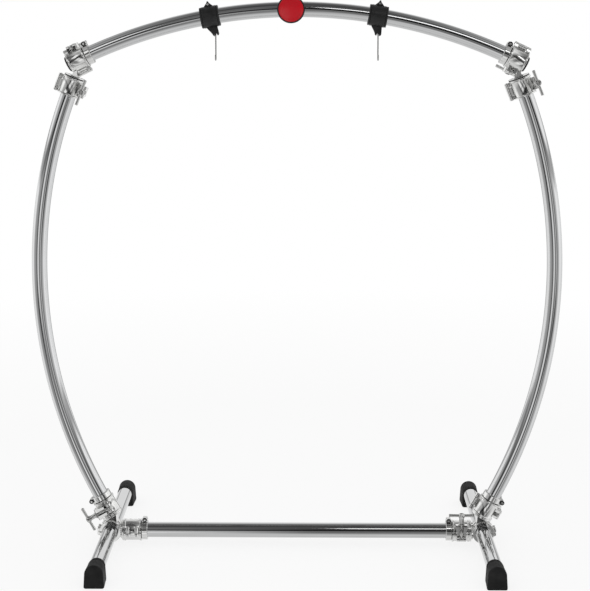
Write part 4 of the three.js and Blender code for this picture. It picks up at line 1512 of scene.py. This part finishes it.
def socket_screw(radius: float, low: float, high: float, socket: float) -> Skin:
    """A round head along z with a hexagon socket sunk in its top.

    Each row of the grid has a radius of a share of the hexagon's plus a plain one, read at the
    same angles: up the head's side, over its top and down into the socket.

    Args:
        radius: the head's radius.
        low: the head's foot.
        high: the head's top.
        socket: the hexagon's radius over flats.

    Returns:
        The closed skin.
    """
    sides = 36
    angle = np.linspace(0.0, TURN, sides, endpoint=False)
    sector = (angle + TURN / 12) % (TURN / 6) - TURN / 12
    hexagon = socket / np.cos(sector)
    depth = (high - low) * 0.55
    rows = [(0.0, radius, low), (0.0, radius, high - 0.4), (0.0, radius - 0.4, high),
            (1.0, 0.15, high), (1.0, 0.0, high - 0.2), (1.0, 0.0, high - depth),
            (0.3, 0.0, high - depth - 0.3)]
    share, plain, height = (np.array(column)[:, None] for column in zip(*rows))
    return grid_skin(round_z(share * hexagon + plain, angle, height))


@dataclass
class MemoryLock:
    """A slit ring that marks where a clamp goes, pinched by a key screw that faces the front; a
    black ring round the screw's head is painted shade for its recess.
    """

    layout: Layout
    bore: float = 19.65
    wall: float = 5.2
    length: float = 14.0
    gap: float = 1.3
    slit: float = 1.0
    lug_half_depth: float = 9.0
    lug_height: float = 8.4
    lug_root: float = 1.8
    lug_edge: float = 1.2
    screw_radius: float = 5.0
    screw_head: float = 3.4
    key_half: float = 2.4
    # Outer radius and height of the black ring round the key screw: painted shade, a dark sheet
    # standing for the shadow inside the screw's recess.
    shade_ring_radius: float = 5.8
    bush: float = 1.4

    def build(self, name: str, axes: Axes) -> None:
        """Make one lock, its screw, and the black ring of painted shade round the screw.

        Args:
            name: the lock's name in the CAD nodes.
            axes: x is the way of its lugs, y the rear.
        """
        half = self.length / 2
        outer = self.bore + self.wall
        top = outer + self.lug_height
        screw, root = top - self.screw_radius, self.bore + self.lug_root
        start = self.slit / self.bore
        ring = turned(sleeve(self.bore, outer, -half, half, 0.7), 96, start, TURN - start)
        lug = []
        for side in (-1.0, 1.0):
            arc = circle(self.screw_radius + self.lug_edge, 13, (screw, 0.0), -math.pi / 2,
                         math.pi / 2)
            outline = np.vstack([[[root, -half]], [[screw, -half]],
                                 np.clip(arc, [screw, -half], [top, half]),
                                 [[screw, half]], [[root, half]]])
            low, high = sorted((side * self.slit, side * self.lug_half_depth))
            lug.append(upright(outline, low, high))
        body = Piece(f"memory_lock_{name}", axes).add(ring, *lug)
        body.finish("root", "chrome_casting", CAST_CHROME, [f"lock_{name}"], bevel=0.5)
        face = self.lug_half_depth
        # Painted shade: a black ring round the key screw's head stands for the shadow inside its
        # recess.
        bush = turned(sleeve(self.key_half + 0.5, self.shade_ring_radius, face - 1.0,
                             face + self.bush, 0.4), 48)
        key = key_screw(self.key_half, face - 1.0, face + self.screw_head)
        for part, skin, slot, finish in (("bush", bush, "black_plastic", NYLON),
                                         ("screw", key, "plated_steel", BRIGHT_STEEL)):
            Piece(f"lock_{part}_{name}", axes).add(
                shift_skin(turn_skin(skin, Z_TO_FRONT), screw)).finish("root", slot, finish)

    def places(self) -> dict[str, Axes]:
        """Every lock's name and frame.

        Returns:
            The frames by name: x is the way of the lock's lugs, y the rear.
        """
        size = self.layout
        shift = size.clamp_length / 2 + self.gap + self.length / 2
        made = {}
        for side in Side:
            place, along = size.on_bar(side.value * size.bar_clamp_reach, -side.value * shift)
            made[f"bar_{side.word}"] = Axes(place, -across(along), REAR)
            lift = shift * size.on_post(side.value, size.post_foot_height)[1][2]
            place, along = size.on_post(side.value, size.post_foot_height + lift)
            made[f"post_{side.word}"] = Axes(place, across(along) * side.value, REAR)
            place = np.array([side.value * (size.brace_reach - shift), -size.ring_set_forward,
                              size.leg_axis_height])
            made[f"brace_{side.word}"] = Axes(place, UP, REAR)
        return made


# Rubber, plugs, hangers and the badge


@dataclass
class Boot:
    """A moulded rubber boot: round where the leg goes in, flat-footed and wider at its face."""

    layout: Layout
    length: float = 60.0
    foot_half: float = 24.5
    top_radius: float = 22.5
    mouth_share: float = 0.9
    bore: float = 19.35
    edge: float = 3.0
    corner: float = 2.5
    bands: tuple[float, ...] = (7.0, 12.5)
    band_profile: Rows = (
        (-1.3, -1.5), (-0.9, 0.35), (0.0, 0.6), (0.9, 0.35), (1.3, -1.5), (1.0, -2.2),
        (-1.0, -2.2))
    floor_gap: float = 0.15
    steps: int = 64

    @property
    def middle(self) -> Array:
        """The leg's axis, as x and height above the floor."""
        return np.array([0.0, self.layout.leg_axis_height])

    def row(self, loop: Array, y: float) -> Array:
        """An outline of x and height, set at a distance from the mouth."""
        return np.column_stack([loop[:, 0], np.full(self.steps, y), loop[:, 1]])

    def outline(self, share: float) -> Array:
        """The boot's section at one size: a half round on two slanting sides and a flat foot.

        Args:
            share: its width as a share of the face's.

        Returns:
            Points of x and height above the floor, evenly spaced along the outline.
        """
        foot, top = self.foot_half * share, self.top_radius * share
        corner = self.corner
        arc = circle(top, 40, (0.0, self.layout.leg_axis_height), 0.0, math.pi)
        right = circle(corner, 7, (foot - corner, corner), -math.pi / 2, 0.0)
        left = circle(corner, 7, (-foot + corner, corner), math.pi, 1.5 * math.pi)
        loop = np.vstack([right, arc, left])
        loop = np.vstack([loop, loop[:1]])
        run = np.concatenate([[0.0], np.cumsum(np.linalg.norm(np.diff(loop, axis=0), axis=1))])
        at = np.linspace(0.0, run[-1], self.steps, endpoint=False)
        return np.column_stack([np.interp(at, run, loop[:, 0]), np.interp(at, run, loop[:, 1])])

    def skin(self) -> Skin:
        """The boot from its bore's blind end, out over the mouth's lip and along to its face.

        Rows are sections: circles in the bore, then outlines that grow from the mouth to the
        face, whose rim is a quarter circle.

        Returns:
            The closed skin, with y the distance from the mouth.
        """
        plain = self.outline(1.0) - self.middle
        ring = plain / np.linalg.norm(plain, axis=1, keepdims=True)
        rows = []

        def bore_row(radius: float, y: float) -> None:
            """Add a circle of the bore."""
            rows.append(self.row(radius * ring + self.middle, y))

        def outer_row(share: float, y: float, sink: float = 0.0) -> None:
            """Add an outline of the outside.

            Args:
                share: its size as a share of the face's.
                y: its distance from the mouth.
                sink: how far it is drawn in, except at the floor.
            """
            loop = self.outline(share)
            off = loop - self.middle
            shrink = 1.0 - sink / np.linalg.norm(off, axis=1, keepdims=True)
            pulled = off * shrink + self.middle
            pulled[:, 1] = np.where(loop[:, 1] < 0.5, loop[:, 1], pulled[:, 1])
            rows.append(self.row(pulled, y))

        blind = self.length - self.layout.boot_end_wall
        bore_row(4.0, blind)
        bore_row(self.bore, blind)
        bore_row(self.bore, 1.2)
        bore_row(self.bore + 0.8, 0.0)
        outer_row(self.mouth_share, 0.0, 1.2)
        outer_row(self.mouth_share, 1.2, 0.0)
        for y in np.linspace(5.0, self.length - self.edge, 12):
            share = self.mouth_share + (1.0 - self.mouth_share) * (y / (self.length - self.edge))
            outer_row(share, float(y))
        for turn in np.linspace(0.25, 1.0, 4) * math.pi / 2:
            outer_row(1.0, self.length - self.edge * (1.0 - math.sin(turn)),
                      self.edge * (1.0 - math.cos(turn)))
        outer_row(0.8, self.length, self.edge)
        return grid_skin(np.stack(rows))

    def ribs(self) -> list[Skin]:
        """Two raised bands round the mouth.

        Each row of the band's profile is a distance from the band's middle and how far the
        outline is moved out there.

        Returns:
            Closed skins, with y the distance from the mouth.
        """
        skins = []
        for centre in self.bands:
            share = self.mouth_share + (1.0 - self.mouth_share) * (centre / self.length)
            off = self.outline(share) - self.middle
            length = np.linalg.norm(off, axis=1, keepdims=True)
            rows = []
            for y, proud in self.band_profile:
                loop = off * (1.0 + proud / length) + self.middle
                loop[:, 1] = np.maximum(loop[:, 1], self.floor_gap)
                rows.append(self.row(loop, centre + y))
            skins.append(grid_skin(np.stack(rows), wrap_rows=True))
        return skins

    def build(self) -> None:
        """Make the four boots."""
        size = self.layout
        for side in Side:
            for end, word in ((-1, "front"), (1, "rear")):
                start = np.array([side.value * size.leg_half_spread,
                                  end * (size.leg_length / 2 - self.length), 0.0])
                skins = []
                for points, faces in [self.skin(), *self.ribs()]:
                    placed = np.column_stack([points[:, 0], points[:, 1] * end, points[:, 2]])
                    skins.append((placed + start, faces))
                Piece(f"rubber_boot_{word}_{side.word}").add(*skins).finish(
                    "root", "black_rubber", RUBBER, [f"boot_{word}_{side.word}"], sharp=40.0)


@dataclass
class BarPlug:
    """A black plug in an end of the top bar, with a softly domed flange."""

    layout: Layout
    flange: float = 5.0
    depth: float = 12.0
    fit: float = 0.3

    def build(self) -> None:
        """Make both plugs."""
        size = self.layout
        inner = size.tube_radius - size.tube_wall - self.fit
        radius = size.tube_radius
        profile = np.array([
            [inner - 1.0, -self.depth], [inner, -self.depth + 1.0], [inner, self.fit],
            [radius - 0.3, self.fit], [radius, self.fit + 0.4],
            [radius, self.fit + self.flange - 1.9], [radius - 0.4, self.fit + self.flange - 0.9],
            [radius - 1.3, self.fit + self.flange - 0.25],
            [radius - 3.5, self.fit + self.flange], [3.0, self.fit + self.flange]])
        for side in Side:
            place, along = size.bar_arc(side.value * size.bar_end_angle)
            outward = along * side.value
            axes = Axes(place, np.cross(REAR, outward), REAR)
            Piece(f"end_plug_{side.word}", axes).add(spun(profile, 72)).finish(
                "root", "black_rubber", NYLON, [f"bar_plug_{side.word}"])


@dataclass
class Hanger:
    """A gong hanger: a flanged bush on the bar, a saddle round it, and a bent-wire hook."""

    layout: Layout
    reach: dict[Side, float] = field(
        default_factory=lambda: {Side.LEFT: -211.5, Side.RIGHT: 198.3})
    bush_half: float = 23.0
    bush_bore: float = 19.95
    bush_wall: float = 2.6
    flange_radius: float = 25.5
    flange: float = 4.5
    saddle_gap: float = 0.3
    saddle_wall: float = 3.2
    ear_height: float = 38.0
    ear_half: float = 12.8
    ear_tip: float = 2.2
    ear_half_depth: float = 5.0
    ear_slit: float = 1.0
    lug_drop: float = 47.5
    lug_top: float = 13.5
    lug_foot: float = 8.0
    lug_half_depth: float = 7.0
    lug_shift: float = 7.0
    foot_height: float = 4.5
    foot_round: float = 3.0
    foot_cut: float = 1.3
    screw_radius: float = 2.6
    screw_inset: float = 2.5
    screw_proud: float = 2.5
    shank: float = 1.5
    wire: float = 1.6
    pin_radius: float = 1.6
    pin_gap: float = 0.6
    pin_rise: float = 7.0
    eye: float = 3.9
    slot_half: float = 2.3
    slot_mouth: float = 3.8
    cheek: float = 1.3
    cheek_slot: float = 2.3
    drop: float = 66.0
    bend: float = 7.0
    tip: float = 6.0

    def bush(self) -> list[Skin]:
        """The sleeve and its two flanges, as one turned profile.

        Returns:
            The closed skin, in a list.
        """
        half, bore, rim = self.bush_half, self.bush_bore, self.flange_radius
        foot = self.flange - half
        return [turned(mirrored(np.array([
            [bore, 0.5 - half], [bore + 0.5, -half], [rim - 0.9, -half], [rim, 0.9 - half],
            [rim, foot - 0.6], [rim - 0.6, foot], [bore + self.bush_wall, foot]])), 84)]

    def saddle(self) -> list[Skin]:
        """The saddle: a ring, a pinched ear above it and a forked lug below it.

        The flanks of ear and lug draw in with a blend of a straight line and a half cosine.

        Returns:
            Closed skins in the hanger's frame.
        """
        half = self.bush_half - self.flange - self.saddle_gap
        inner = self.bush_bore + self.bush_wall + self.saddle_gap
        outer = inner + self.saddle_wall
        slit = self.ear_slit / inner
        loop = sleeve(inner, outer, -half, half, 0.6)
        ring = turned(loop, 84, math.pi + slit, 3.0 * math.pi - slit)
        ear_in = -inner - 0.4
        tall, wide, point = self.ear_height, self.ear_half, self.ear_tip
        share = np.linspace(0.0, 1.0, 9)
        draw = 0.7 * share + 0.3 * (0.5 - 0.5 * np.cos(math.pi * share))
        crown = circle(point, 9, (-tall + point, 0.0), math.pi / 2 + 0.5, 1.5 * math.pi - 0.5)
        flank = np.column_stack([ear_in + (-tall + 1.2 * point - ear_in) * share,
                                 wide + (point - wide) * draw])
        ear = np.vstack([flank, crown, (flank * MIRROR)[::-1]])
        skins = [ring]
        for side in (-1.0, 1.0):
            low, high = sorted((side * self.ear_slit, side * self.ear_half_depth))
            skins.append(upright(ear, low, high))
        pin = self.lug_drop - self.pin_rise
        core, face = self.lug_half_depth - self.cheek, self.lug_half_depth
        for slot_top, root, low, high in (
                (pin - self.eye - 2.0 * self.wire, self.slot_mouth, -core, core),
                (pin + self.cheek_slot, self.slot_half, -face, -core),
                (pin + self.cheek_slot, self.slot_half, core, face)):
            left, right = (self.lug_flank(side, inner + 0.4, share, draw, slot_top, root)
                           for side in (-1.0, 1.0))
            skins.append(upright(np.vstack([left, right[::-1]]), low, high))
        return skins

    def lug_flank(self, side: float, start: float, share: Array, draw: Array, slot_top: float,
                  root: float) -> Array:
        """One side of the forked lug, from the ring down to its foot and up its slot.

        Args:
            side: the side of z, 1 or -1.
            start: local x of its top.
            share: how far down each point of the flank is, 0 to 1.
            draw: how far it is drawn in there, 0 to 1.
            slot_top: local x of the slot's closed end.
            root: half of the slot's width there.

        Returns:
            Its points in local x and z.
        """
        drop, foot, cut = self.lug_drop, self.lug_foot, self.foot_cut
        flank = np.column_stack([
            start + (drop - self.foot_height - start) * share,
            side * self.lug_top + (self.lug_shift + side * (foot - self.lug_top)) * draw])
        ends = np.array([[drop - cut, foot - cut], [drop, foot - self.foot_round],
                         [drop, self.slot_mouth], [slot_top, root]])
        return np.vstack([flank, ends * [1.0, side] + [0.0, self.lug_shift]])

    def metal(self) -> list[Skin]:
        """The ear's screw with its nut, and the hook's pin.

        Returns:
            Closed skins in the hanger's frame.
        """
        at = -self.ear_height + 2.0 * self.screw_radius + self.screw_inset
        reach = self.ear_half_depth + self.screw_proud
        head = turn_skin(socket_screw(self.screw_radius, self.ear_half_depth - 0.4, reach, 1.1),
                         Z_TO_FRONT)
        shank = turn_skin(spun(chamfered(self.shank, -reach, reach - 2.0, 0.3), 16), Z_TO_Y)
        nut = turn_skin(prism(circle(self.screw_radius, 6), self.ear_half_depth - 0.2,
                              reach - 0.3), Z_TO_Y)
        pin = spun(rounded(self.pin_radius, self.lug_shift - self.lug_foot - 0.3,
                           self.lug_shift + self.lug_foot + 0.3, 0.7), 24)
        return ([shift_skin(skin, at) for skin in (head, shank, nut)]
                + [shift_skin(pin, self.lug_drop - self.pin_rise)])

    def hook_path(self) -> Array:
        """The hook's wire, drawn about its pin in y and z.

        An eye of 0.85 of a turn, a straight shank, half a turn to the front, and a short tip.
        The eye's radius is eye, the bend's is bend, and each stretch is sampled evenly.

        Returns:
            Points in rows of three, with x = 0.
        """
        sag = self.eye - self.wire - self.pin_radius - self.pin_gap
        angle = 0.85 * TURN * (1.0 - np.linspace(0.0, 1.0, 40))
        eye = np.column_stack([self.eye * np.sin(angle), -sag - self.eye * np.cos(angle)])
        foot = -(self.drop - self.bend)
        shank = np.column_stack([np.zeros(24), np.linspace(-sag - self.eye, foot, 26)[1:-1]])
        turn = np.linspace(0.0, math.pi, 28)
        bend = np.column_stack([-self.bend + self.bend * np.cos(turn),
                                foot - self.bend * np.sin(turn)])
        tip = np.column_stack([np.full(5, -2.0 * self.bend),
                               np.linspace(foot, foot + self.tip, 6)[1:]])
        flat = np.vstack([eye, shank, bend, tip])
        return np.column_stack([np.zeros(len(flat)), flat])

    def build(self) -> None:
        """Make both hangers."""
        for side in Side:
            place, along = self.layout.on_bar(self.reach[side])
            axes = Axes(place, across(along), REAR)
            word = side.word
            Piece(f"hanger_sleeve_{word}", axes).add(*self.bush()).finish(
                f"hanger_{word}", "black_plastic", NYLON, [f"hanger_bush_{word}"])
            Piece(f"hanger_fork_{word}", axes).add(*self.saddle()).finish(
                f"saddle_{word}", "black_plastic", NYLON, [f"hanger_saddle_{word}"], bevel=0.5)
            Piece(f"hanger_fasteners_{word}", axes).add(*self.metal()).finish(
                f"saddle_{word}", "plated_steel", BRIGHT_STEEL)
            pin = axes.place(np.array([self.lug_drop - self.pin_rise, 0.0, self.lug_shift]))
            wire = piped(self.hook_path(), circle(self.wire, 14), RIGHT)
            Piece(f"wire_hook_{word}").add(shift_skin(wire, *pin)).finish(
                f"hook_{word}", "hook_wire", HOOK_WIRE, [f"hook_{word}"], sharp=60.0)


@dataclass
class Badge:
    """The plain round badge: a domed red disc in a dark bezel, on a clip round the bar."""

    layout: Layout
    offset: float = -13.5
    radius: float = 33.7
    thickness: float = 5.0
    dome: float = 2.4
    bezel: float = 3.0
    stand_off: float = 1.2
    clip_half: float = 13.0
    clip_wall: float = 3.0
    clip_gap: float = 0.25
    clip_degrees: tuple[float, float] = (-8.0, 188.0)
    stem_radius: float = 11.0

    def build(self) -> None:
        """Make the disc, the bezel and the clip."""
        size = self.layout
        place, along = size.on_bar(self.offset)
        axes = Axes(place, -across(along), FRONT)
        back = size.tube_radius + self.stand_off
        front = back + self.thickness
        rim, face = self.radius, self.radius - self.bezel
        loop = np.array([
            [face - 1.0, back + 0.6], [face, back], [rim - 1.0, back], [rim, back + 1.0],
            [rim, front - 0.8], [rim - 0.5, front + 0.1], [rim - 1.3, front + 0.4],
            [face + 0.7, front + 0.3], [face + 0.1, front - 0.4], [face - 1.0, front - 1.6]])
        bezel = turn_skin(turned(loop, 96), Z_TO_Y)
        share = np.linspace(0.0, 0.97, 16)
        dome = np.column_stack([face * np.cos(share * math.pi / 2),
                                front - 1.2 + (self.dome + 0.2) * np.sin(share * math.pi / 2)])
        profile = np.vstack([[[3.0, back + 0.3], [face - 0.2, back + 0.3],
                              [face, front - 1.4]], dome])
        disc = turn_skin(spun(profile, 96), Z_TO_Y)
        Piece("badge_disc", axes).add(disc).finish("root", "badge_red", ENAMEL, ["badge"])
        bore = size.tube_radius + self.clip_gap
        outside = bore + self.clip_wall
        band = turned(sleeve(bore, outside, -self.clip_half, self.clip_half, 0.6), 84,
                      *map(math.radians, self.clip_degrees))
        stem = turn_skin(spun(rounded(self.stem_radius, outside - 2.0, back + 0.5, 0.3), 40),
                         Z_TO_Y)
        cover = turn_skin(spun(rounded(rim - 0.8, back - 0.3, back + 0.5, 0.3), 96), Z_TO_Y)
        Piece("badge_bezel", axes).add(bezel, cover, band, stem).finish(
            "root", "black_plastic", NYLON)


# Studio


@dataclass
class Studio:
    """Floor, backdrop, lamps and camera."""

    focal_pixels: float = 1489.0
    frame_pixels: float = 591.0
    shift_pixels: float = -70.8
    place: tuple[float, float, float] = (0.035, -3.6807, 1.3318)
    pitch: float = 7.903
    yaw: float = 0.610
    floor_white: float = 0.82
    floor_fade: tuple[float, float] = (1.4, 3.6)
    matt_level: float = 0.85
    metal_strength: float = 1.22
    front_stops: Stops = (
        (0.0, 0.53), (0.05, 0.60), (0.13, 0.52), (0.20, 0.72), (0.28, 0.92), (0.355, 0.82),
        (0.375, 0.30), (0.39, 0.30), (0.41, 0.84), (0.495, 0.78), (0.525, 0.12), (0.55, 0.03),
        (0.61, 0.03), (0.65, 0.10), (0.70, 0.16), (0.76, 0.22), (0.82, 0.10), (0.87, 0.16),
        (0.92, 0.06), (1.0, 0.06))
    around_stops: Stops = (
        (0.0, 0.53), (0.05, 0.60), (0.13, 0.60), (0.20, 0.70), (0.28, 0.78), (0.39, 0.84),
        (0.51, 0.92), (0.53, 0.40), (0.555, 0.42), (0.575, 0.92), (0.66, 0.88), (0.76, 0.80),
        (0.86, 0.60), (0.93, 0.25), (1.0, 0.10))
    facing_stops: Stops = ((0.36, 0.0), (0.40, 1.0), (0.60, 1.0), (0.64, 0.0))
    compass_stops: Stops = (
        (0.0, 0.85), (0.05, 0.80), (0.07, 0.18), (0.09, 0.26), (0.105, 1.0), (0.167, 0.85),
        (0.222, 1.0), (0.27, 0.86), (0.289, 0.44), (0.342, 0.38), (0.389, 0.30), (0.414, 0.08),
        (0.430, 0.10), (0.442, 0.90), (0.483, 0.84), (0.50, 0.22), (0.537, 0.24), (0.556, 0.90),
        (0.572, 0.10), (0.588, 0.20), (0.605, 0.42), (0.661, 0.56), (0.68, 0.90), (0.714, 1.0),
        (0.775, 0.95), (0.836, 0.80), (0.895, 1.0), (0.91, 0.22), (0.93, 0.16), (0.95, 0.82),
        (1.0, 0.85))
    horizon_stops: Stops = ((0.10, 0.0), (0.25, 1.0), (0.80, 1.0), (0.92, 0.0))

    def camera(self) -> None:
        """The camera at the photograph's place, height and angle."""
        lens = bpy.data.cameras.new("camera")
        lens.sensor_width = 36.0
        lens.sensor_fit = "AUTO"
        lens.lens = 36.0 * self.focal_pixels / self.frame_pixels
        lens.shift_y = self.shift_pixels / self.frame_pixels
        lens.clip_end = 100.0
        camera = bpy.data.objects.new("camera", lens)
        camera.location = self.place
        camera.rotation_euler = (math.radians(90.0 - self.pitch), 0.0, math.radians(self.yaw))
        bpy.context.scene.collection.objects.link(camera)
        bpy.context.scene.camera = camera

    def lamp(self, name: str, place: Sequence[float], aim: Sequence[float], power: float,
             size: tuple[float, float]) -> None:
        """A soft rectangular lamp.

        Args:
            name: its name.
            place: where it is, in metres.
            aim: the point that it faces.
            power: its power in watts.
            size: width and height in metres.
        """
        light = bpy.data.lights.new(name, "AREA")
        light.shape = "RECTANGLE"
        light.size, light.size_y = size
        light.energy = power
        lamp = bpy.data.objects.new(name, light)
        lamp.location = place
        way = np.array(aim) - np.array(place)
        flat = math.hypot(way[0], way[1])
        lamp.rotation_euler = (math.atan2(flat, -way[2]), 0.0,
                               math.atan2(way[1], way[0]) - math.pi / 2)
        bpy.context.scene.collection.objects.link(lamp)

    def floor(self) -> None:
        """A plain pale floor: near white to the camera, with the object's soft shadow kept.

        To the camera it mixes its lit colour with plain white, all white some way from the
        object; a ray that leaves a metal surface passes through it to the surround.
        """
        half = 12.0
        mesh = bpy.data.meshes.new("floor")
        corners = [(-half, -half, 0.0), (half, -half, 0.0), (half, half, 0.0), (-half, half, 0.0)]
        mesh.from_pydata(corners, [], [(0, 1, 2, 3)])
        floor = bpy.data.objects.new("floor", mesh)
        bpy.context.scene.collection.objects.link(floor)
        made = bpy.data.materials.new("pale_floor")
        made.use_nodes = True
        nodes, wiring = made.node_tree.nodes, Wiring(made.node_tree)
        lit = wiring.feed(nodes["Principled BSDF"], {
            "Base Color": (0.88, 0.88, 0.88, 1.0), "Roughness": 0.8}).outputs["BSDF"]
        rays = wiring.node("LightPath").outputs
        away = wiring.node("VectorMath", {0: wiring.node("NewGeometry").outputs["Position"]})
        away.operation = "LENGTH"
        fade = wiring.spread(away.outputs["Value"], *self.floor_fade, self.floor_white)
        seen = wiring.choose(wiring.math("MULTIPLY", rays["Is Camera Ray"], fade), lit,
                             wiring.node("Emission").outputs["Emission"])
        wiring.feed(nodes["Material Output"], {"Surface": wiring.choose(
            rays["Is Glossy Ray"], seen, wiring.node("BsdfTransparent").outputs["BSDF"])})
        mesh.materials.append(made)

    def world(self) -> None:
        """The surround: white to the camera, an even grey to matt surfaces, a studio to metal.

        What metal shows depends on the way that a ray leaves. A ramp over its height gives the
        pale floor, walls and dim ceiling: one for the front, where a dark gap lies at eye level,
        and one for the sides and rear. A ramp over its compass angle, which fades out towards
        floor and ceiling, multiplies it by the panels and the dark gaps between them.
        """
        world = bpy.data.worlds.new("surround")
        bpy.context.scene.world = world
        world.use_nodes = True
        world.node_tree.nodes.clear()
        wiring = Wiring(world.node_tree)
        way = wiring.node("SeparateXYZ", {
            "Vector": wiring.node("TexCoord").outputs["Generated"]}).outputs
        height = wiring.spread(way["Z"], -1.0, 1.0)
        compass = wiring.spread(
            wiring.math("ARCTAN2", way["X"], wiring.math("MULTIPLY", way["Y"], -1.0)),
            -math.pi, math.pi)
        levels = wiring.blend("MIX", wiring.ramp(compass, self.facing_stops),
                              wiring.ramp(height, self.around_stops),
                              wiring.ramp(height, self.front_stops))
        tint = wiring.blend("MULTIPLY", wiring.ramp(height, self.horizon_stops), levels,
                            wiring.ramp(compass, self.compass_stops))
        seen, matt, metal = (
            wiring.node("Background", {"Color": colour, "Strength": level}).outputs["Background"]
            for colour, level in (((1.0, 1.0, 1.0, 1.0), 1.0),
                                  ((*([self.matt_level] * 3), 1.0), 1.0),
                                  (tint, self.metal_strength)))
        rays = wiring.node("LightPath").outputs
        glossy = wiring.math("MAXIMUM", rays["Is Glossy Ray"], rays["Is Transmission Ray"])
        wiring.node("OutputWorld", {"Surface": wiring.choose(
            rays["Is Camera Ray"], wiring.choose(glossy, matt, metal), seen)})

    def build(self) -> None:
        """Make the whole studio."""
        self.camera()
        self.floor()
        self.world()
        self.lamp("key", (1.5, -3.6, 3.7), (0.0, 0.0, 0.8), 11.0, (2.8, 0.7))
        self.lamp("fill", (-2.2, -3.0, 3.0), (0.0, 0.0, 0.8), 6.0, (1.8, 1.2))
        bpy.context.scene.view_settings.view_transform = "Standard"


def main() -> None:
    """Build the stand's pieces and the studio, in order."""
    layout, clamp = Layout(), Clamp()
    Studio().build()
    Tubes(layout).build()
    bracket, hub = Bracket(layout, clamp), Hub(layout, clamp)
    for side in Side:
        bracket.corner(side)
        hub.build(side)
    hub.brace_cap()
    for name, (axes, open_end) in layout.hinged_clamps().items():
        clamp.build_moving(name, axes)
        bracket.jaw_liner(name, axes, open_end)
    lock = MemoryLock(layout)
    for name, axes in lock.places().items():
        lock.build(name, axes)
    Boot(layout).build()
    BarPlug(layout).build()
    Hanger(layout).build()
    Badge(layout).build()


if __name__ == "__main__":
    main()
